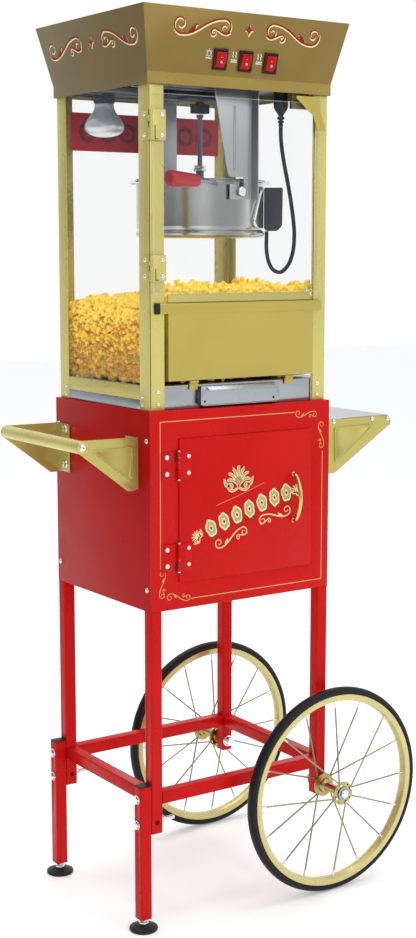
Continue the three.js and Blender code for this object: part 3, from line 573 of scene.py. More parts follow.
def ribbon(work, points, widths, height, matrix, lift):
    """A flat strip of varying width along a line of (u, v) points."""
    rings = []
    last = len(points) - 1
    for i, (u, v) in enumerate(points):
        before, after = points[max(i - 1, 0)], points[min(i + 1, last)]
        direction = Vector((after[0] - before[0], after[1] - before[1]))
        direction.normalize()
        x, y = Vector((-direction.y, direction.x)) * (widths[i] / 2)
        rings.append([work.verts.new(matrix @ Vector((p * MM, q * MM, h * MM)))
                      for p, q, h in ((u + x, v + y, lift), (u + x, v + y, height), (u - x, v - y, height),
                                      (u - x, v - y, lift))])
    join_rings(work, rings)


def spiral(centre, start_radius, end_radius, start_angle, turn, steps):
    """Points on a spiral from its open end in to its eye; angles in degrees."""
    points = []
    for t in (k / steps for k in range(steps + 1)):
        radius = start_radius + (end_radius - start_radius) * t ** 0.8
        angle = math.radians(start_angle + turn * t)
        points.append((centre[0] + radius * math.cos(angle), centre[1] + radius * math.sin(angle)))
    return points


def bezier(a, b, c, d, steps):
    a, b, c, d = (Vector(p) for p in (a, b, c, d))
    return [tuple((1 - t) ** 3 * a + 3 * t * (1 - t) ** 2 * b + 3 * t * t * (1 - t) * c + t ** 3 * d)
            for t in (k / steps for k in range(steps + 1))]


def taper(count, thick, thin, peak):
    """Stroke widths that swell at the peak and run out to thin ends."""
    return [thin + (thick - thin) * max(0.0, 1 - abs(i / (count - 1) - peak) / max(peak, 1 - peak)) ** 0.7
            for i in range(count)]


def draw(name, strokes, matrix, material, body, height, grow=0.0, lift=0.0):
    """One piece from many strokes; grow widens them, for the pale outline that sits underneath."""
    work = bmesh.new()
    for points, widths in strokes:
        ribbon(work, points, [w + grow for w in widths], height, matrix, lift)
    bmesh.ops.recalc_face_normals(work, faces=work.faces)
    piece(name, work, material, body)


# -------------------- swept pieces

def smooth_line(points, steps=8):
    """A centripetal Catmull-Rom curve through the points."""
    points = [Vector(p) for p in points]
    padded = [2 * points[0] - points[1]] + points + [2 * points[-1] - points[-2]]
    line = []
    for a, b, c, d in zip(padded, padded[1:], padded[2:], padded[3:]):
        t1 = (b - a).length ** 0.5
        t2 = t1 + (c - b).length ** 0.5
        t3 = t2 + (d - c).length ** 0.5
        for k in range(steps):
            t = t1 + (t2 - t1) * k / steps
            ab = a.lerp(b, t / t1)
            bc = b.lerp(c, (t - t1) / (t2 - t1))
            cd = c.lerp(d, (t - t2) / (t3 - t2))
            first = ab.lerp(bc, t / t2)
            second = bc.lerp(cd, (t - t1) / (t3 - t1))
            line.append(first.lerp(second, (t - t1) / (t2 - t1)))
    return line + [points[-1]]


def add_sweep(work, line, section, across=RIGHT, scale=None):
    """Sweeps a (u, v) section along a line; u starts as near `across` as it can."""
    u = Vector(across)
    rings = []
    last = len(line) - 1
    for i, place in enumerate(line):
        along = (line[min(i + 1, last)] - line[max(i - 1, 0)]).normalized()
        u = (u - along * u.dot(along)).normalized()
        v = along.cross(u)
        size = scale[i] if scale else 1.0
        rings.append([work.verts.new(place + (u * a + v * b) * size * MM) for a, b in section])
    join_rings(work, rings)


def swept(name, line, section, material, body, across=RIGHT, scale=None):
    work = bmesh.new()
    add_sweep(work, line, section, across, scale)
    bmesh.ops.recalc_face_normals(work, faces=work.faces)
    obj = piece(name, work, material, body)
    smooth_by_angle(obj.data, 50)
    return obj


def kettle_rod(name, points, radius, material):
    """A round rod on the kettle."""
    swept(name, smooth_line([at(*p) for p in points]), regular(16, radius), material, "kettle")


# -------------------- the kettle's cord

CORD_WIDTH, CORD_THICKNESS = 7.0, 3.8
CORD_WAIST = 0.72                           # half the thickness at the groove, as a share of the full one's
CORD_ROUTE = [
    (120, -103, 1379), (120, -103, 1366), (122, -103, 1345), (128, -103, 1315), (136, -103, 1283),
    (143, -103, 1252), (149.5, -102, 1220), (153, -101, 1190), (151, -99, 1160), (143.5, -95, 1138),
    (131, -90, 1126.5), (119, -84, 1131), (112.5, -78, 1148), (111.5, -74, 1170), (112.38, -72.96, 1186),
    (112.38, -72.96, 1198.7),
]


def make_cord():
    """A flat two-core lead, from the socket under the ceiling down in a loop to the kettle's plug."""
    line = smooth_line([at(*p) for p in CORD_ROUTE], 20)
    half_thick = CORD_THICKNESS / 2
    lobe = CORD_WIDTH / 2 - half_thick
    section = []
    for side in (1, -1):
        for angle in (math.radians(-90 * side + 22.5 * k) for k in range(9)):
            section.append((side * lobe + half_thick * math.cos(angle), half_thick * math.sin(angle)))
        section.append((0, side * half_thick * CORD_WAIST))
    lead = swept("kettle_lead", line, section, "cord", None, (0.83, -0.56, 0))
    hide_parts("kettle_cord")
    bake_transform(lead)


make_cord()


# -------------------- floor

def make_floor():
    material = new_material("floor", (0.90, 0.94, 0.95), 0.7, Specular_IOR_Level=0.1,
                            Emission_Color=(1, 1, 1, 1), Emission_Strength=0.2)
    vary_colour(material, noise_value(material, 1.5), [(0.3, (0.89, 0.93, 0.94)), (0.7, (0.92, 0.95, 0.96))])
    work = bmesh.new()
    bmesh.ops.create_grid(work, x_segments=1, y_segments=1, size=12)
    data = bpy.data.meshes.new("floor")
    work.to_mesh(data)
    work.free()
    data.materials.append(material)
    new_object("floor", data)


# -------------------- the CAD's sheet metal and tubes

SHEET_METAL = {
    ("red", "red_paint"): ["front_rail", "back_rail", "left_leg_frame", "right_leg_frame",
                           "leg_extension_front", "leg_extension_back", "cabinet_front_frame",
                           "cabinet_back_panel", "cabinet_right_panel", "cart_door"],
    # the left panel takes the darker red, as painted shade
    ("red_painted_shade", "red_paint"): ["cabinet_left_panel"],
    ("gold", "gold_paint"): ["post_front_left", "post_front_right", "post_back_left", "post_back_right"],
    ("bracket", "gold_paint"): ["handle_bracket_front", "handle_bracket_back", "shelf_bracket_front",
                                "shelf_bracket_back"],
    ("flap", "gold_paint"): ["flap_door", "door_handle"],
    ("canopy", "canopy_paint"): ["canopy"],
    ("steel", "steel"): ["popper_base", "crumb_drawer", "kettle_lid_left", "kettle_lid_right"],
    ("hanger", "steel"): ["hanger_front", "hanger_back"],
    ("shelf", "shelf_steel"): ["shelf_tray"],
    ("black", "black_plastic"): ["switch_housing", "drive_chuck", "motor_housing"],
    ("charcoal", "black_plastic"): ["kettle_connector"],
    ("rocker", "red_plastic"): ["rocker_1", "rocker_2", "rocker_3"],
}
SOFT_EDGES = {"kettle_connector": 2.4, "switch_housing": 0.7, "motor_housing": 1.5, "rocker_1": 0.8,
              "rocker_2": 0.8, "rocker_3": 0.8, "canopy": 0.9, "drive_chuck": 1.2}
BODY_OF = {node: body for body, nodes in frame["record"]["behaviour"]["bodies"].items() for node in nodes}
SKIRT_TOP = 1452 * MM
FLAP_LIP_BOTTOM = 1078.7 * MM


def repaint(skin, materials, choose):
    """Gives a skin further materials and each polygon the one that `choose` names by its index."""
    for material in materials:
        skin.materials.append(MAT[material])
    for polygon in skin.polygons:
        polygon.material_index = choose(polygon)


def canopy_zone(polygon):
    """The canopy's ends get a darker copy of its paint as painted shade, and its upright skirt a lighter copy
    as painted light.
    """
    across = max(abs(polygon.normal.x), abs(polygon.normal.y))
    upright = abs(polygon.normal.z) < 0.05 and across > 0.95
    if abs(polygon.normal.x) > 0.9:
        return 2
    return 1 if upright and polygon.center.z < SKIRT_TOP else 0


def dress_sheet_metal():
    skins = {}
    for (material, slot), nodes in SHEET_METAL.items():
        for node in nodes:
            skins[node] = softened(node, material, SOFT_EDGES.get(node, 0.5)).data
    # painted light on the upright skirt and painted shade on the ends
    repaint(skins["canopy"], ["skirt", "canopy_end_painted_shade"], canopy_zone)
    # the lip's lighter gold is painted light
    repaint(skins["flap_door"], ["flap_lip_painted_light"], lambda polygon: int(polygon.center.z > FLAP_LIP_BOTTOM))
    for node, material in (("cabinet_top", "red"), ("cabinet_floor", "red"), ("ceiling_plate", "steel_dark")):
        mesh = frame["nodes"][node].data
        mesh.materials.clear()
        mesh.materials.append(MAT[material])


def dress_panes():
    """Clear panes whose cut edges show as pale lines."""
    for node, axis in (("left_glass", 0), ("right_glass", 0), ("back_glass", 1), ("front_door", 1)):
        skin = softened(node, "clear", 0.4).data
        repaint(skin, ["edge"], lambda polygon, axis=axis: int(abs(polygon.normal[axis]) <= 0.95))


# -------------------- wheels and feet

RIM_OUTER, RIM_INNER = 178.0, 165.0
SPOKES = 16
SPOKE_LEAN = math.radians(26)
SPOKE_CIRCLE = 17.6                         # the radius of the spoke holes in the hub's flanges


def around(centre, radius, angle, y):
    """A place beside a wheel's centre, at a radius and an angle about its axle."""
    return centre + Vector((radius * math.cos(angle), y, radius * math.sin(angle))) * MM


def wheel_centre(end):
    tyre = Box(f"tyre_{end}")
    return Vector((tyre.x, tyre.y, tyre.z))


def wheel(end, outward):
    body = f"{end}_wheel"
    centre = wheel_centre(end)
    axis = (0, outward, 0)
    crown = [(RIM_OUTER + 4.4 + 8.1 * math.sin(angle) ** 0.8, -9.4 * math.cos(angle))
             for angle in (math.pi * k / 16 for k in range(17))]
    seat = RIM_OUTER + 0.3
    tyre = turned(f"tyre_{end}_rubber", [(seat, -7.6)] + crown + [(seat, 7.6)], centre, "tyre", body, axis,
                  160, 0.6, True)
    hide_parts(f"tyre_{end}")
    half_rim = [(RIM_INNER + 4, 9.5), (RIM_INNER + 2.2, 8.6), (RIM_INNER + 1.4, 6.0), (RIM_INNER, 3.2)]
    rim_profile = ([(RIM_OUTER, -9.5), (RIM_OUTER, 9.5)] + half_rim
                   + [(r, -y) for r, y in reversed(half_rim)])
    rim = turned(f"rim_{end}", rim_profile, centre, "rim", body, axis, 160, 0.9, True)
    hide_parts(f"wheel_{end}")
    hub_profile = [(4.6, -35), (11, -35), (11, -29), (21.5, -29), (21.5, -26), (14, -25.5), (13, -18),
                   (8.5, -16), (8.5, 16), (13, 18), (14, 25.5), (21.5, 26), (21.5, 29), (4.6, 29)]
    turned(f"hub_{end}", hub_profile, centre, "hub", body, axis, 64, 0.7, True)
    add_spokes(end, centre, body)
    # black discs painted as the shade in the spoke holes of the hub's flanges
    holes = bmesh.new()
    for k in range(SPOKES):
        side = 1 if k % 2 else -1
        place = around(centre, SPOKE_CIRCLE, 2 * math.pi * (k + 0.5) / SPOKES, side * 29.05)
        add_lathe(holes, [(0, -0.1), (1.5, -0.1), (1.5, 0.12), (0, 0.12)], 12, facing(place, (0, side, 0)))
    piece(f"hub_hole_shades_{end}", holes, "black", body)


def add_spokes(end, centre, body):
    """Crossing spokes from alternate hub flanges, with a nipple at the rim and a bent head at the hub."""
    wires, nipples = bmesh.new(), bmesh.new()
    nipple = [(0, -1.5), (2.3, -1.5), (2.3, 2), (1.9, 3), (1.7, 12), (1.2, 13), (0, 13)]
    for k in range(SPOKES):
        side = 1 if k % 2 else -1
        rim_angle = 2 * math.pi * k / SPOKES
        hub_angle = rim_angle + (SPOKE_LEAN if k % 4 < 2 else -SPOKE_LEAN)
        hub_end = around(centre, SPOKE_CIRCLE, hub_angle, side * 27.5)
        head = hub_end + Vector((0, side * 2.6, 0)) * MM
        rim_end = around(centre, RIM_INNER + 1.5, rim_angle, side * 2)
        add_sweep(wires, [head, hub_end + (rim_end - hub_end) * 0.008, rim_end], regular(8, 1.5), (0, 1, 0.1))
        add_lathe(nipples, nipple, 12, facing(rim_end, hub_end - rim_end, (0, 1, 0.01)))
        add_lathe(nipples, [(0, -0.2), (2.1, -0.2), (1.6, 1.2), (0, 1.6)], 12, facing(head, (0, side, 0)))
    for name, work, material in (("spokes", wires, "spoke"), ("nipples", nipples, "chrome")):
        smooth_by_angle(piece(f"{name}_{end}", work, material, body).data, 50)


def axle(end, outward):
    """A bolt with a domed lock nut on a bright washer outside the hub, and a nut inside the leg."""
    centre = wheel_centre(end)
    axis = (0, outward, 0)
    face = centre + Vector((0, outward * 29.3 * MM, 0))
    washer = [(4, 0), (12.5, 0), (12.5, 2.2), (9, 2.6), (9, 1.6), (4, 1.6)]
    turned(f"axle_{end}_washer", washer, face, "steel", CART, axis, 48, 0.4, True)
    dome = [(0, 5.0), (6.8, 5.0), (6.6, 5.8), (5.2, 7.0), (2.5, 7.8), (0, 8.0)]
    built(f"axle_{end}_nut", facing(face, axis), [(regular(6, 8.6, 0.3), 1.6, 5.2), (dome, 32)])
    shank_profile = [(0, -10), (8.6, -10), (8.6, -2), (11, -2), (11, 0), (4, 0), (4, 60.3), (0, 60.3)]
    inner = Vector((centre.x, outward * 138 * MM, centre.z))
    shank = turned(f"axle_{end}_shank", shank_profile, inner, "chrome", CART, axis, 36, 0.4, False)
    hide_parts(f"axle_{end}")


def feet():
    """Levelling feet: a rubber pad with a pressed collar, a nut and a threaded stem."""
    pad_profile = [(0, 0), (23.5, 0), (25, 2.5), (24.6, 5.5), (19, 7.5), (13, 9.5), (12, 10.5), (0, 10.5)]
    thread = [(0, 15)]
    for z in (15 + 1.9 * k for k in range(12)):
        thread += [(4.4, z), (4.95, z + 0.95)]
    thread += [(4.4, 37.9), (0, 37.9)]
    for end, _ in ENDS:
        box = Box(f"foot_{end}")
        place = Vector((box.x, box.y, 0))
        body = f"{end}_foot"
        pad = turned(f"foot_{end}_pad", pad_profile, place, "black", body, UP, 64, 1.0, False)
        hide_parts(f"foot_{end}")
        solids = [(regular(6, 9.2, 0.2), 10.6, 15), (thread, 20)]
        built(f"foot_{end}_stem", Matrix.Translation(place), solids, body=body, edge=0.3)


def leg_hardware():
    """Black plugs in the tops of the leg extensions, and the bolts and nuts that clamp them."""
    plug = [(rounded_rectangle(22.0, 22.0, 3.0), 0.05, 1.7), (rounded_rectangle(17.6, 17.6, 2.0), -9, 0.1)]
    washer = [(0, 0.1), (8.4, 0.1), (8.4, 1.4), (0, 1.4)]
    for end, _ in ENDS:
        box = Box(f"leg_extension_{end}")
        top = facing((box.x, box.y, box.z1), UP, BACK)
        built(f"leg_plug_{end}", top, plug, "black", edge=0.9, segments=3)
        for level, z in (("low", 191), ("high", 236)):
            leg_bolt(f"leg_bolt_{end}_{level}", Vector((box.x0, box.y, z * MM)))
            inner = facing((box.x0 + 44.9 * MM, box.y, z * MM), RIGHT)
            built(f"leg_nut_{end}_{level}", inner, [(washer, 32), (regular(6, 7.6, 0.2), 1.4, 7.5)])


# -------------------- cabinet details

def push_handle():
    """A gold tube between the brackets, held by a large screw at each end, and the brackets' nuts."""
    tube = Box("push_handle_tube")
    length = (tube.y1 - tube.y0) / MM
    profile = [(0, 0.1), (11.1, 0.1), (11.1, length - 0.1), (0, length - 0.1)]
    start = Vector((tube.x, tube.y0, tube.z))
    bar = turned("push_bar", profile, start, "gold", CART, BACK, 64, 0.8, False)
    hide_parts("push_handle_tube")
    boss = [(0, 0), (10.6, 0), (10.2, 1.4), (8.6, 1.8), (0, 1.8)]
    washer = [(0, 0), (7.0, 0), (6.4, 1.6), (0, 1.6)]
    for end, web, out in (("front", -124, -1), ("back", 148, 1)):
        axis = (0, out, 0)
        turned(f"push_boss_{end}", boss, at(-296.4, web, 845.5), "gold", CART, axis, 48, 0.5, False)
        screws(f"push_screw_{end}", [at(-296.4, web + out * 1.6, 845.5)], axis, head=6.4, height=2.6)
        raised_triangle(f"push_bracket_press_{end}", [(-281, 839.5), (-200, 841.5), (-202, 781)], web, out)
    for z in (846, 782):
        for end, y in (("front", -98), ("back", 122)):
            place = facing(at(-191.9, y, z), LEFT)
            built(f"push_nut_{z}_{end}", place, [(washer, 32), (regular(6, 5.8, 0.3), 1.5, 6.5)])


def raised_triangle(name, corners, web, out):
    """A stiffening triangle pressed out of a bracket's web; corners are (x, z)."""
    rise, radius = 2.6, 7
    corners = [Vector(corner) for corner in corners]
    outline = []
    for i, corner in enumerate(corners):
        outline += rounded_corner(corners[i - 1], corner, corners[(i + 1) % 3], radius, 6)
    middle = sum(outline, Vector((0, 0))) / len(outline)
    work = bmesh.new()
    rings = []
    for shrink, height in ((0.0, 0.02), (0.035, rise), (0.10, rise), (0.135, rise * 0.25)):
        ring = [point.lerp(middle, shrink) for point in outline]
        rings.append([work.verts.new(at(p.x, web + out * height, p.y)) for p in ring])
    join_rings(work, rings)
    bmesh.ops.recalc_face_normals(work, faces=work.faces)
    smooth_by_angle(piece(name, work, "bracket", CART).data, 60)


def shelf():
    for end, out in ENDS:
        web = out * 159
        raised_triangle(f"shelf_bracket_press_{end}", [(200.5, 851), (296.5, 851), (203.4, 783)], web, out)
        places = [at(x, web + out * 0.5, z) for x, z in ((200.9, 860.6), (291, 860.4), (327.6, 858.5))]
        screws(f"shelf_screws_{end}", places, (0, out, 0), head=4.2, height=2.4)


def cabinet_screws():
    spots = [(-149, 851), (-149, 598.6), (150.5, 598.5), (150.5, 854)]
    for tag, normal in (("left", LEFT), ("right", RIGHT)):
        places = [at(normal[0] * 189.2, y, z) for y, z in spots]
        screws(f"side_screws_{tag}", places, normal, head=4.6, height=2.6)
    screws("back_screws", [at(x, 160.5, z) for x in (-176, 0, 176) for z in (580, 730, 882)], BACK, head=4.2)


def cabinet_hinges():
    """Two red butt hinges: a wide leaf on the cabinet, a narrow one on the door and a bright pin."""
    layout = (("upper", 784.8, 831.7, (2, 3, 4), (0, 1), (823, 794.8), 0.80),
              ("lower", 627, 675, (0, 1, 2), (3, 4), (666, 638), 0.20))
    for tag, z0, z1, cart_knuckles, door_knuckles, levels, mark in layout:
        height = z1 - z0
        middle = (z0 + z1) / 2
        name = f"hinge_{tag}"
        hinge_leaf(f"{name}_cart", at(-151.65, -160.6, middle), FRONT, (33.7, height), CART, "red", 1,
                   cart_knuckles, 1.8, 3.6, 3.0)
        hinge_leaf(f"{name}_door", at(-122.15, -163.1, middle), FRONT, (25.3, height), "cabinet_door",
                   "red", -1, door_knuckles, 1.6, 3.6, 2.2)
        screws(f"{name}_cart_screws", [at(-157.1, -162.4, z) for z in levels], FRONT, CART, 4.2, 2.2, "white")
        screws(f"{name}_door_screws", [at(-115.2, -164.7, z) for z in levels], FRONT, "cabinet_door",
               material="white")
        reach = height / 2 + 2.2
        pin = [(0, -reach), (2.4, -reach), (2.4, reach), (0, reach)]
        turned(f"{name}_pin", pin, at(-134.8, -164.2, middle), "chrome", CART, UP, 24, 0.8, False)
        # a dark strip painted as the shade in the gap beside the cabinet leaf's knuckles
        groove = [(rounded_rectangle(5.2, 0.34 * height, 0.6), 0, 0.35)]
        built(f"{name}_slot", facing(at(-140.2, -162.35, z0 + height * mark), FRONT), groove, "painted_gap_shade",
              edge=0)


def bow_handle():
    """The brass bow on the cabinet door, fuller in the middle, with a collar at each end."""
    x, low, high = 108, 691, 774
    foot, depth = -163.1, 21
    lower_half = [(0.2, 0), (2.5, 0), (8, 3), (17, 20)]
    points = ([(x, foot - out, low + rise) for out, rise in lower_half]
              + [(x, foot - depth, (low + high) / 2)]
              + [(x, foot - out, high - rise) for out, rise in reversed(lower_half)])
    line = smooth_line([at(*p) for p in points])
    scale = [0.60 + 0.40 * math.sin(math.pi * i / (len(line) - 1)) for i in range(len(line))]
    bar = swept("bow_bar", line, regular(20, 3.8), "brass", "cabinet_door", scale=scale)
    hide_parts("bow_handle")
    collar = [(2.5, 0.05), (3.9, 0.05), (3.9, 0.7), (3.2, 1.1), (2.5, 1.2)]
    for tag, z in (("low", low), ("high", high)):
        turned(f"bow_collar_{tag}", collar, at(x, -163.05, z), "brass", "cabinet_door", FRONT, 40, 0.3, True)


# -------------------- popper details

def popper_hinges():
    """Gold leaves on the near corner post and the clear door, whose knuckles share the door's axis."""
    for tag, z0, z1 in (("upper", 1342, 1391), ("lower", 1115, 1157.5)):
        height = z1 - z0
        middle = (z0 + z1) / 2
        name = f"door_hinge_{tag}"
        hinge_leaf(f"{name}_post", at(-184.05, -143, middle), LEFT, (24, height), CART, "gold", 1, (0, 1, 3),
                   1.2, 2.5, -2.55, 2.7)
        hinge_leaf(f"{name}_door", at(-167.25, -155.3, middle), FRONT, (28.5, height), "front_door", "gold",
                   -1, (2, 4), 0.9, 2.5, -0.3, 2.7)
        # dark strips painted as the shade in the gaps by the hinge's knuckles
        knuckle_shade = bmesh.new()
        for x, z, width, tall in ((-173.6, z0 + 0.25 * height, 2.0, 0.46 * height),
                                  (-170.6, z0 + 1.6, 7.0, 1.4)):
            add_prism(knuckle_shade, rounded_rectangle(width, tall, 0.4), 0, 0.25, facing(at(x, -156.15, z), FRONT))
        piece(f"{name}_slit", knuckle_shade, "bronze_dark", "front_door")
        levels = (z0 + 8, z1 - 8)
        screws(f"{name}_post_screws", [at(-185.2, -142, z) for z in levels], LEFT, CART, 3.7, 2.0)
        screws(f"{name}_door_screws", [at(-160, -156.1, z) for z in levels], FRONT, "front_door", 3.7, 2.0)


def popper_screws():
    front = [(-166.5, 932), (-166.5, 911), (168.5, 930.5), (168.5, 911)]
    side = [(y, z) for y in (-129.5, 129.5) for z in (924, 909.4)]
    back = [(x, z) for x in (-168, 168) for z in (1425, 1180, 930, 911)]
    for tag, normal, places in (("front", FRONT, [at(x, -151.2, z) for x, z in front]),
                                ("left", LEFT, [at(-184, y, z) for y, z in side]),
                                ("right", RIGHT, [at(184, y, z) for y, z in side]),
                                ("back", BACK, [at(x, 151.2, z) for x, z in back])):
        screws(f"post_screws_{tag}", places, normal, head=3.7, height=2.0)
    screws("drawer_dots", [at(x, -157.25, 912) for x in (-77.5, 67.2)], FRONT, "drawer", 2.1, 0.7, "black")


def plates(name, place, normal, layers, material, body=CART, edge=0.4, segments=2, up=UP):
    """Rounded rectangles stacked on a face; layers are (width, height, corner radius, low, high)."""
    solids = [(rounded_rectangle(width, height, radius), low, high)
              for width, height, radius, low, high in layers]
    built(name, facing(place, normal, up), solids, material, body, edge, segments)


def post_gap_shades():
    """Black strips painted as the shade in the gap beside the near corner where the door's post stands, and
    in one at the far front corner.
    """
    low, high = 905, 1429
    for tag, x in (("left", -182.0), ("right", 156.4)):
        # a black strip as painted shade in the gap
        plates(f"post_gap_shade_{tag}", at(x, -151.15, (low + high) / 2), FRONT, [(1.3, high - low, 0.2, 0, 0.35)],
               "black", edge=0)


def sills():
    """Gold sill strips outside the side panes and grey ones below them."""
    for tag, normal in (("left", LEFT), ("right", RIGHT)):
        for kind, z0, z1, material, slot in (("gold", 918, 941, "gold", "gold_paint"),
                                             ("grey", 901.4, 917.6, "steel", "steel")):
            plates(f"sill_{tag}_{kind}", at(normal[0] * 181.75, 0, (z0 + z1) / 2), normal,
                   [(242, z1 - z0, 0.6, 0, 2.0)], material)


def flap_hardware():
    """The flap's two hinge tabs with their barrels, its top bar's black end cap, and a dark strip along the
    bar's top edge that is a painted shadow in the gap.
    """
    for tag, x0, x1 in (("left", -105, -88), ("right", 95, 113.5)):
        width = x1 - x0
        plates(f"flap_tab_{tag}", at((x0 + x1) / 2, -150.6, 939), FRONT, [(width, 12, 1.2, 0, 1.6)], "flap")
        barrel = [(0, 0), (2.2, 0), (2.2, width), (0, width)]
        turned(f"flap_barrel_{tag}", barrel, at(x0, -153.4, 946), "flap", CART, RIGHT, 24, 0.4, False)
    plates("flap_bar_cap", at(-169.4, -150.9, 1069.8), FRONT, [(9.4, 18.4, 2.4, 0.2, 5.6)], "black", "flap",
           0.8, 3)
    # a dark strip as painted shadow in the gap between the lip and the bar
    plates("flap_bar_painted_shadow", at(4, -153.3, 1079.2), FRONT, [(303, 1.5, 0.3, 0, 0.4)], "bronze_dark", "flap",
           0)


def door_catch():
    """A dark magnetic catch under the canopy's right corner, behind the door's handle plate."""
    base = facing(at(128, -144, 1421), FRONT)
    work = bmesh.new()
    add_prism(work, rounded_rectangle(36, 30, 1.5), -4, 4, base)
    add_prism(work, rounded_rectangle(9, 22, 1.0), 4, 5.4, base @ Matrix.Translation((8 * MM, 0, 0)))
    bevelled(piece("door_catch", work, "bronze_dark", CART), 0.6)


def lamp_and_socket():
    box = Box("lamp")
    place = Vector((box.x, box.y, 0))
    bulb = [(0, 1360), (12, 1360.7), (22, 1363), (30, 1367.2), (34.2, 1372.6), (34.9, 1377), (33.6, 1383),
            (29.5, 1390), (23.5, 1398), (19, 1405), (17, 1411), (16.8, 1418), (0, 1418.2)]
    lamp = turned("lamp_bulb", bulb, place, "lamp", radius=3.0)
    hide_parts("lamp")
    socket = [(0, 1418.3), (18.4, 1418.3), (18.4, 1424), (19.5, 1425.5), (19.5, 1446.6), (0, 1446.6)]
    turned("lamp_socket", socket, place, "charcoal", segments=64)


def cord_socket():
    """The round fitting the kettle cord hangs from, with a ribbed strain relief below it."""
    box = Box("cord_outlet")
    profile = [(0, 1379.4), (3.9, 1379.4), (4.6, 1380.4), (4.6, 1382.4), (3.2, 1383.0), (3.2, 1384.6),
               (5.4, 1385.4), (5.4, 1388.2), (3.4, 1388.9), (3.4, 1390.4), (6.4, 1391.3), (6.4, 1395.0),
               (4.4, 1395.9), (4.4, 1398.5), (8.0, 1403), (12.2, 1410), (13, 1416), (12.4, 1430),
               (13, 1434), (13, 1446.7), (0, 1446.7)]
    plug = turned("kettle_plug_top", profile, Vector((box.x, box.y, 0)), "black", segments=48, radius=0.35)
    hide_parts("cord_outlet")


def ceiling_rails():
    """Folded rails under the ceiling that carry the motor and the hangers, and the motor's fan cover."""
    for tag, y in (("front", -92), ("middle", 52), ("back", 108)):
        plates(f"ceiling_rail_{tag}", at(-60, y, 1440), DOWN, [(236, 24, 1.0, -6, 6), (236, 5, 1.0, 6, 9)],
               "steel_dark", edge=0.8, up=BACK)
    plates("motor_cover", at(-12, -44, 1447), DOWN, [(98, 62, 12, 0.3, 20), (70, 46, 8, 20.2, 26)], "black",
           edge=1.6, segments=3, up=BACK)


# -------------------- kettle

KETTLE_X, KETTLE_RADIUS = 19.0, 113.0


def kettle():
    r = KETTLE_RADIUS
    wall = [(0, 1186), (r - 9, 1186), (r - 3.5, 1187.2), (r + 0.8, 1191), (r + 1.4, 1195), (r - 0.6, 1198.5),
            (r - 2.6, 1200), (r - 1.2, 1202.5), (r, 1206), (r, 1281.5), (r + 1.5, 1283), (r + 1.6, 1284.6),
            (r - 0.4, 1285.5), (r - 2, 1284), (r - 2, 1204), (r - 8, 1193), (r - 14, 1190), (0, 1190)]
    pot = turned("kettle_bowl", wall, at(KETTLE_X, 0, 0), "kettle", "kettle", UP, 192, 0.7, False)
    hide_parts("kettle_pot")
    pin = [(0, 0), (5, 0), (5, 9.3), (8, 9.4), (8, 13.6), (6.6, 14.3), (0, 14.5)]
    for end, side in ENDS:
        turned(f"kettle_pin_{end}", pin, at(23, side * 111.8, 1265), "chrome", "kettle", (0, side, 0), 48,
               0.6, False)
    grip_start, grip_end = (-70, -125, 1280.6), (-136, -134, 1283.2)
    kettle_rod("kettle_handle_rod", [(-18, -104.5, 1276), (-26, -112, 1278), (-44, -120, 1280), grip_start,
                                     (-92, -128.2, 1281.6)], 3.4, "steel")
    kettle_rod("kettle_bail", [(96, -80.5, 1276), (88, -93.5, 1272), (80, -98.6, 1262), (62, -108.8, 1226),
                               (58, -110.6, 1214), (66, -107.5, 1205), (82, -97.5, 1203)], 2.6, "chrome")
    along = Vector(grip_end) - Vector(grip_start)
    length = along.length
    profile = [(0, 0.2), (4.2, 0), (8.6, 0), (10.4, 1.6), (11.2, 8), (12.2, length * 0.5),
               (13.4, length - 16), (13.9, length - 9), (13.2, length - 4), (10.6, length - 1.2),
               (6, length - 0.1), (0, length)]
    grip = turned("kettle_grip_moulded", profile, at(*grip_start), "grip", "kettle", along, 64, 1.6, False)
    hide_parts("kettle_grip")


def agitator():
    """The stirring rod with its coupling nut, a drive dog on top and cranked arms in the kettle."""
    place = at(KETTLE_X, 0, 0)
    shaft_profile = [(0, 1193), (8, 1193), (8, 1203), (4.3, 1205), (4.3, 1289), (7, 1290.4), (7, 1303.5),
                     (4.3, 1304), (4.3, 1396), (6.2, 1396), (6.2, 1401.4), (0, 1401.4)]
    shaft = turned("agitator_shaft", shaft_profile, place, "steel_dark", "stirrer", UP, 48, 0.5, False)
    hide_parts("agitator")
    nut = [(regular(6, 11.5, 0.3), 1303.2, 1308.2), (regular(6, 10.4, 0.8), 1308.3, 1313.8)]
    built("agitator_nut", Matrix.Translation(place), nut, body="stirrer", edge=0.7)
    arms = bmesh.new()
    for angle, length in ((0, 88), (180, 88), (90, 58), (270, 58)):
        turn = Matrix.Translation(place) @ Matrix.Rotation(math.radians(angle), 4, "Z")
        line = [turn @ (Vector((reach, bow, 1196.5)) * MM)
                for reach, bow in ((5, 0), (length * 0.5, 3), (length, 0))]
        add_sweep(arms, smooth_line(line, 6), rounded_rectangle(7, 2.6, 0.8, 3), UP)
    bevelled(piece("agitator_arms", arms, "steel", "stirrer"), 0.3, 1, 60)


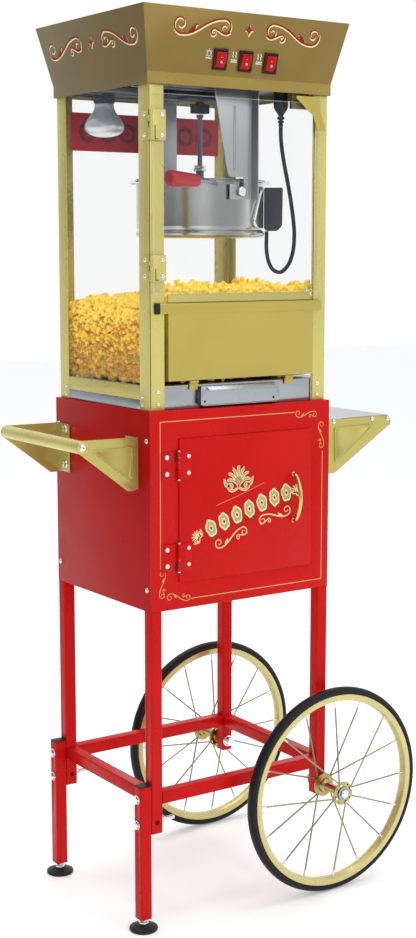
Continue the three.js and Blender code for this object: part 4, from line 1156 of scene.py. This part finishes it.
def lid_rolls():
    """The drooping finger lips at the outer ends of the lid halves."""
    inner, steps, half_angle = 112.9, 24, math.radians(40)
    section = [(inner, 1285.6), (117, 1285.4), (121.5, 1283.6), (124.6, 1280.8), (125.8, 1282),
               (122.4, 1285.6), (117.6, 1287.4), (inner, 1287.6)]
    for tag, middle in (("left", math.pi), ("right", 0.0)):
        work = bmesh.new()
        rings = []
        for share in (2 * i / steps - 1 for i in range(steps + 1)):
            angle = middle + share * half_angle
            out = 1 - 0.75 * max(0.0, abs(share) - 0.82) / 0.18
            reaches = [(inner + (r - inner) * out, z) for r, z in section]
            rings.append([work.verts.new(at(KETTLE_X + r * math.cos(angle), r * math.sin(angle), z))
                          for r, z in reaches])
        join_rings(work, rings)
        bmesh.ops.recalc_face_normals(work, faces=work.faces)
        smooth_by_angle(piece(f"lid_lip_{tag}", work, "chrome", f"lid_{tag}").data, 40)


def hanger_details():
    """A pressed rib up the outer face of each kettle hanger."""
    section = [(2.6 * math.cos(a), 1.2 * math.sin(a)) for a in (i * math.pi / 8 for i in range(16))]
    for end, out in ENDS:
        rib = bmesh.new()
        add_sweep(rib, [at(10, out * 119.3, 1300), at(10, out * 119.3, 1408)], section)
        smooth_by_angle(piece(f"hanger_rib_{end}", rib, "hanger", CART).data, 60)


# -------------------- printed ornament

def scroll(scale=1.0, thick=3.4, flip=1):
    """An S-scroll about 122 mm long: a large curl, a wave, a curl over a smaller one, and two leaves."""
    left = list(reversed(spiral((-46, 4), 15.5, 3.4, -90, -430, 34)))
    wave = bezier((-46, -11.5), (-12, -15), (0, 17), (41, 17), 22)[1:-1]
    main = left + wave + spiral((41, 3), 14, 3.0, 90, -420, 34)
    small = bezier((52, -3), (42, -13), (28, 1), (20, 1), 10)[:-1] + spiral((20, -6), 7, 1.4, 90, 410, 22)
    leaf_a = bezier((-30, -9), (-25, -5), (-21, 0), (-14, 5), 10)
    leaf_b = bezier((-28, -8), (-22, -7), (-18, -4), (-16, 1), 10)
    strokes = []
    for points, width, thin, peak in ((main, thick, 0.9, 0.5), (small, thick * 0.8, 0.7, 0.3),
                                      (leaf_a, thick * 1.5, 0.2, 0.55), (leaf_b, thick * 1.1, 0.2, 0.5)):
        placed = [(flip * u * scale, v * scale) for u, v in points]
        strokes.append((placed, [w * scale for w in taper(len(placed), width, thin, peak)]))
    return strokes


def unit(degrees):
    return math.cos(math.radians(degrees)), math.sin(math.radians(degrees))


def moved(strokes, du, dv, turn=0.0):
    c, s = unit(turn)
    return [([(c * u - s * v + du, s * u + c * v + dv) for u, v in points], widths)
            for points, widths in strokes]


def star():
    """A four-pointed star with hollow sides: one upright stroke that swells sharply at its middle."""
    height, width, steps = 9.5, 8.5, 24
    levels = [-height + 2 * height * i / steps for i in range(steps + 1)]
    widths = [max(0.2, 2 * width * (1 - (abs(v) / height) ** 0.55) ** 1.15) for v in levels]
    return [([(0, v) for v in levels], widths)]


def canopy_face(direction):
    """A matrix on a sloping canopy face: u along the face, v up the slope from its crease."""
    crease, top = 1450, 1551.6
    low, high = (188.4, 209.7) if direction[0] else (155.9, 179.6)
    lean = math.atan2(high - low, top - crease)
    normal = Vector((direction[0] * math.cos(lean), direction[1] * math.cos(lean), -math.sin(lean)))
    return facing(at(direction[0] * low, direction[1] * low, crease), normal)


def canopy_ornament():
    for tag, direction, span, rise in (("front", FRONT, 89, 74), ("left", LEFT, 87, 58),
                                       ("right", RIGHT, 87, 58), ("back", BACK, 89, 74)):
        matrix = canopy_face(direction)
        strokes = (moved(scroll(), -span, rise) + moved(scroll(flip=-1), span, rise)
                   + moved(star(), 0, rise + 3))
        draw(f"canopy_scroll_{tag}_edge", moved(strokes, 0.8, -1.6), matrix, "print_cream", CART, 0.25, 1.5,
             0.02)
        draw(f"canopy_scroll_{tag}", strokes, matrix, "print_red", CART, 0.45, 0.0, 0.2)


SWITCH_PLACES = (-50.5, 0.5, 51.5)


def switch_icons():
    """A small picture left of each rocker: a lamp, then two rising heat waves twice, with bars below."""
    strokes = []

    def bar(u, v, reach, width):
        strokes.append(([(u - reach, v), (u + reach, v)], [width, width]))

    v = 29
    for k, x in enumerate(SWITCH_PLACES):
        u = x - 23.0
        if k == 0:
            strokes.append((spiral((u, v + 6), 4.0, 4.0, -60, 300, 16), [1.1] * 17))
            bar(u, v + 1.8, 1.6, 0.9)
            for c, s in (unit(angle) for angle in (-40, 40, 90, 140, 220)):
                strokes.append(([(u + r * c, v + 6 + r * s) for r in (5.2, 7.2)], [0.9, 0.9]))
        else:
            for base in (v, v + 5):
                for foot in (u - 3.0, u + 3.0):
                    wave = bezier((foot, base + 2), (foot + 2, base + 3.6), (foot - 2, base + 5),
                                  (foot, base + 6.6), 8)
                    strokes.append((wave, [1.2] * 9))
            bar(u, v - 4.6, 6, 1.5)
        bar(u, v - 1.6, 6, 1.5)
    draw("switch_icons", strokes, canopy_face(FRONT), "print_white", CART, 0.3, 0.0, 0.02)


def cabinet_ornament():
    """A pinstripe round the cabinet's front, broken at two corners by scrolls."""
    face = facing(at(0, -160.52, 0), FRONT)
    left, right, low, high = -169.5, 174, 577, 883
    lines = [([start, end], [1.5, 1.5]) for start, end in (
        ((left, high), (112, high)), ((left, high), (left, 634)), ((-108, low), (right, low)),
        ((right, low), (right, 810)))]
    corners = []
    for flip, du, dv, turn in ((1, 138, 877, -6), (1, 170, 838, -90), (-1, -132, 583, 174),
                               (-1, -165, 606, 90)):
        corners += moved(scroll(0.42, 3.6, flip), du, dv, turn)
    draw("cabinet_pinstripe", lines + corners, face, "print_stripe", CART, 0.2)


def petal(base, angle, length, bend, width):
    """One leaf of the palmette: a stroke from its base that curls over at the tip."""
    c, s = unit(angle)
    tip = (base[0] + length * c, base[1] + length * s)
    side = (-s * bend, c * bend)
    root = (base[0] + length * 0.35 * c - side[0], base[1] + length * 0.35 * s - side[1])
    curl = (tip[0] - side[0] * 0.6, tip[1] - side[1] * 0.6)
    points = bezier(base, root, curl, (tip[0] + side[0], tip[1] + side[1]), 12)
    return points, taper(len(points), width, 0.5, 0.7)


def palmette(u, v, size):
    """Seven leaves that fan out from a base between two curls and two wings."""
    strokes = []
    for angle, length, bend in ((90, 41, 0), (73, 38, -3), (107, 38, 3), (56, 34, -5), (124, 34, 5),
                                (38, 28, -6), (142, 28, 6)):
        strokes.append(petal((u, v), angle, length * size, bend * size, 4.6 * size))
    for side in (-1, 1):
        def spot(across, rise):
            return u + side * across * size, v + rise * size

        curl = bezier(spot(0, 0), spot(10, -8), spot(20, -9), spot(24, 2), 10)[:-1]
        curl += spiral(spot(18, 2), 6 * size, 1.2 * size, 0 if side > 0 else 180, side * 380, 20)
        strokes.append((curl, taper(len(curl), 4.6 * size, 1.0, 0.4)))
        wing = bezier(spot(20, 4), spot(30, 2), spot(31, 12), spot(33, 18), 10)
        strokes.append((wing, taper(len(wing), 6.4 * size, 0.4, 0.35)))
    return strokes


def puff_outline(u, v, width, height, turn, lobes):
    """The outline of a popped kernel: an oval whose edge swells into round lobes."""
    c, s = unit(turn)
    points = []
    for angle in (2 * math.pi * k / 56 for k in range(56)):
        swell = 0.94 + 0.13 * abs(math.sin(lobes * angle / 2 + 0.7))
        x, y = width / 2 * swell * math.cos(angle), height / 2 * swell * math.sin(angle)
        points.append((u + c * x - s * y, v + s * x + c * y))
    return points


KERNEL_ROW = [(-68.5, 695, 24), (-41.5, 704, 20), (-14.5, 713, 17), (12, 721, 16), (39, 729, 15),
              (66, 736, 12), (92, 742, 8)]
KERNEL_LAYERS = (("shadow", "print_shadow", 1.5, 1.06, 0.12), ("edge", "print_cream", 0.0, 1.0, 0.2),
                 ("fill", "print_gold", 0.0, 0.80, 0.28), ("heart", "print_cream", 0.0, 0.36, 0.34),
                 ("seed", "print_shadow", 0.0, 0.20, 0.4))


def door_ornament():
    """A palmette, a row of seven popped kernels and scrolls, all painted in cream and gold."""
    face = facing(at(0, -163.02, 0), FRONT)
    body = "cabinet_door"
    crest = palmette(-11, 761, 0.92)
    draw("door_crest_edge", crest, face, "print_cream", body, 0.18, 1.5)
    draw("door_crest", crest, face, "print_gold", body, 0.3, -0.6, 0.05)
    for layer, material, offset, size, height in KERNEL_LAYERS:
        work = bmesh.new()
        for k, (u, v, turn) in enumerate(KERNEL_ROW):
            outline = puff_outline(u + offset, v - offset, 21 * size, 31 * size, turn, 5 + k % 2)
            add_prism(work, outline, 0.0, height, face)
        piece(f"door_kernels_{layer}", work, material, body)
    scrolls = moved(scroll(0.62, 3.4), -24, 673, 16) + moved(scroll(0.62, 3.4, -1), 66, 702, 14)
    ends = moved(palmette(0, 0, 0.42), -92, 680, 62) + moved(palmette(0, 0, 0.42), 113, 739, -20)
    line = [([(-58, 733), (-11, 746), (44, 764)], [0.7, 0.7, 0.7])]
    draw("door_flourish", scrolls + ends, face, "print_cream", body, 0.2)
    draw("door_line", line, face, "print_stripe", body, 0.2)


def back_band():
    """The red band printed on the back pane, with seven plain ring motifs."""
    place = at(0, 145.75, 1374.5)
    plates("pane_band", place, FRONT, [(318, 67, 0.5, 0, 0.12)], "band_red", edge=0)
    rings = []
    for u in (42 * k for k in range(-3, 4)):
        rings.append((spiral((u, 0), 14, 14, 0, 360, 40), [8.0] * 41))
        rings.append(([(u, -3), (u, 3)], [4, 4]))
    draw("pane_band_rings", rings, facing(place, FRONT), "band_dark", CART, 0.3, 0.0, 0.13)


def rocker_marks():
    """A line and a ring on each rocker's two halves."""
    lean = math.radians(13.13) - 0.1
    strokes = [([(0, 2.6), (0, 5.6)], [0.9, 0.9]), (spiral((0, -4.4), 1.5, 1.5, 0, 360, 18), [0.7] * 19)]
    for k, x in enumerate(SWITCH_PLACES, 1):
        matrix = facing(at(x, -166.9, 1475.5), (0, -math.cos(lean), -math.sin(lean)))
        draw(f"rocker_marks_{k}", strokes, matrix, "print_white", f"switch_{k}", 0.5, 0.0, -0.4)


# -------------------- popcorn

HEAP_X, HEAP_Y = (-170, 170), (-129, 140)
HEAP_FLOOR, HEAP_SHOULDER = 947, 1070       # the sides' kernels stand between these heights


def clamp(value):
    return max(0.0, min(1.0, value))


def kernel_shape(chance):
    """A popped kernel on a unit scale, round lobes with tight folds: points, puff values and faces."""
    work = bmesh.new()
    bmesh.ops.create_icosphere(work, subdivisions=2, radius=1.0)
    lobes = []
    for _ in range(chance.randint(6, 10)):
        direction = Vector((chance.gauss(0, 1), chance.gauss(0, 1), chance.gauss(0, 1))).normalized()
        lobes.append((direction, chance.uniform(0.75, 1.1)))
    shift = Vector((chance.uniform(0, 50), chance.uniform(0, 50), chance.uniform(0, 50)))
    points, puffs = [], []
    for vertex in work.verts:
        d = vertex.co.normalized()
        reach = max(size * max(0.0, d.dot(direction)) ** 3.2 for direction, size in lobes)
        reach += 0.10 * noise.noise(d * 3.1 + shift)
        points.append(d * (0.46 + 0.66 * reach))
        puffs.append(clamp(0.05 + 0.95 * reach))
    faces = [[v.index for v in face.verts] for face in work.faces]
    work.free()
    return points, puffs, faces


def heap_height(x, y):
    """The popcorn's height above the floor: level by the left pane, piled up towards the flap."""
    across = math.cos(x / 176 * 1.3)
    wave = math.sin(x * 0.045) * math.cos(y * 0.05)
    front = clamp((40 - y) / 150) * clamp((x + 190) / 60)
    return 1074 + 10 * across + 4 * wave + 26 * front


def scatter_places(chance):
    """Places for kernels: a layer over the top of the heap and one on each of its sides."""
    places = {"top": [], "left": [], "right": [], "front": [], "back": []}
    (x0, x1), (y0, y1) = HEAP_X, HEAP_Y

    def spread(low, high, step):
        count = max(1, round((high - low) / step))
        return [low + (high - low) * (k + 0.5) / count for k in range(count)]

    def shaken(value, amount):
        return value + chance.uniform(-amount, amount)

    for x in spread(x0, x1, 10):
        for y in spread(y0, y1, 10):
            sx, sy = shaken(x, 5), shaken(y, 5)
            places["top"].append((sx, sy, heap_height(sx, sy) - 7 + chance.uniform(-5, 8)))
            places["top"].append((shaken(sx, 4), shaken(sy, 4), heap_height(sx, sy) - 15))
    for z in spread(HEAP_FLOOR - 2, HEAP_SHOULDER, 9.4):
        for y in spread(y0, y1, 9.4):
            places["left"].append((x0 + chance.uniform(-1, 3), shaken(y, 4.5), shaken(z, 4.5)))
    for z in spread(HEAP_FLOOR, HEAP_SHOULDER, 12):
        for y in spread(y0, y1, 12):
            places["right"].append((x1 + chance.uniform(-3, 1), shaken(y, 4.5), shaken(z, 4.5)))
        for x in spread(x0, x1, 12):
            places["back"].append((shaken(x, 4.5), y1 + chance.uniform(-3, 1), shaken(z, 4.5)))
            places["front"].append((shaken(x, 4.5), y0 + chance.uniform(-1, 3), shaken(z, 4.5)))
    for x in spread(-164, 166, 9):
        for level in (1072 + 8.5 * step for step in range(4)):
            if level < heap_height(x, y0) - 4:
                places["front"].append((shaken(x, 3), y0 - 1 + chance.uniform(-1, 4), shaken(level, 3)))
    return places


def make_popcorn():
    """Five layers of popped kernels over a darker core, which is painted shade seen between them; kernels
    lower in the heap are darkened as painted shade and the top ones lightened a little as painted light.
    """
    chance = random.Random(11)
    shapes = [kernel_shape(chance) for _ in range(14)]
    for side, places in scatter_places(chance).items():
        points, puffs, faces = [], [], []
        for x, y, z in places:
            shape_points, shape_puffs, shape_faces = chance.choice(shapes)
            spin = Matrix.Rotation(chance.uniform(0, 6.28), 3, "Z")
            spin = spin @ Matrix.Rotation(chance.uniform(0, 6.28), 3, "X")
            size = chance.uniform(5.6, 8.6) * MM
            centre = at(x, y, z)
            # random tone, plus painted shade that darkens kernels lower in the heap and a little painted
            # light on the top ones
            tint = chance.uniform(-0.16, 0.16) + 0.07 - 0.86 * clamp((1075 - z) / 120) ** 0.7
            start = len(points)
            points += [centre + (spin @ p) * size for p in shape_points]
            puffs += [clamp(value + tint) for value in shape_puffs]
            faces += [[start + i for i in face] for face in shape_faces]
        mesh = bpy.data.meshes.new(f"popcorn_{side}")
        mesh.from_pydata(points, [], faces)
        mesh.attributes.new("puff", "FLOAT", "POINT").data.foreach_set("value", puffs)
        for polygon in mesh.polygons:
            polygon.use_smooth = True
        piece(f"popcorn_{side}", mesh, "corn", CART)
    # a darker core under the kernels, as painted shade in the gaps
    core = [(rounded_rectangle(338, 264, 6), 945, 1058)]
    built("popcorn_core", Matrix.Translation(at(0, 5, 0)), core, "corn_painted_shade", edge=6,
          segments=3)
    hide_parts("popcorn_heap")


# -------------------- build

def build():
    make_floor()
    dress_sheet_metal()
    dress_panes()
    for end, outward in ENDS:
        wheel(end, outward)
        axle(end, outward)
    for make in (feet, leg_hardware, push_handle, shelf, cabinet_screws, cabinet_hinges, bow_handle,
                 popper_hinges, popper_screws, sills, post_gap_shades, flap_hardware, door_catch,
                 lamp_and_socket, cord_socket, ceiling_rails, kettle, agitator, lid_rolls, hanger_details,
                 canopy_ornament, switch_icons, rocker_marks, cabinet_ornament, door_ornament, back_band,
                 make_popcorn):
        make()


build()
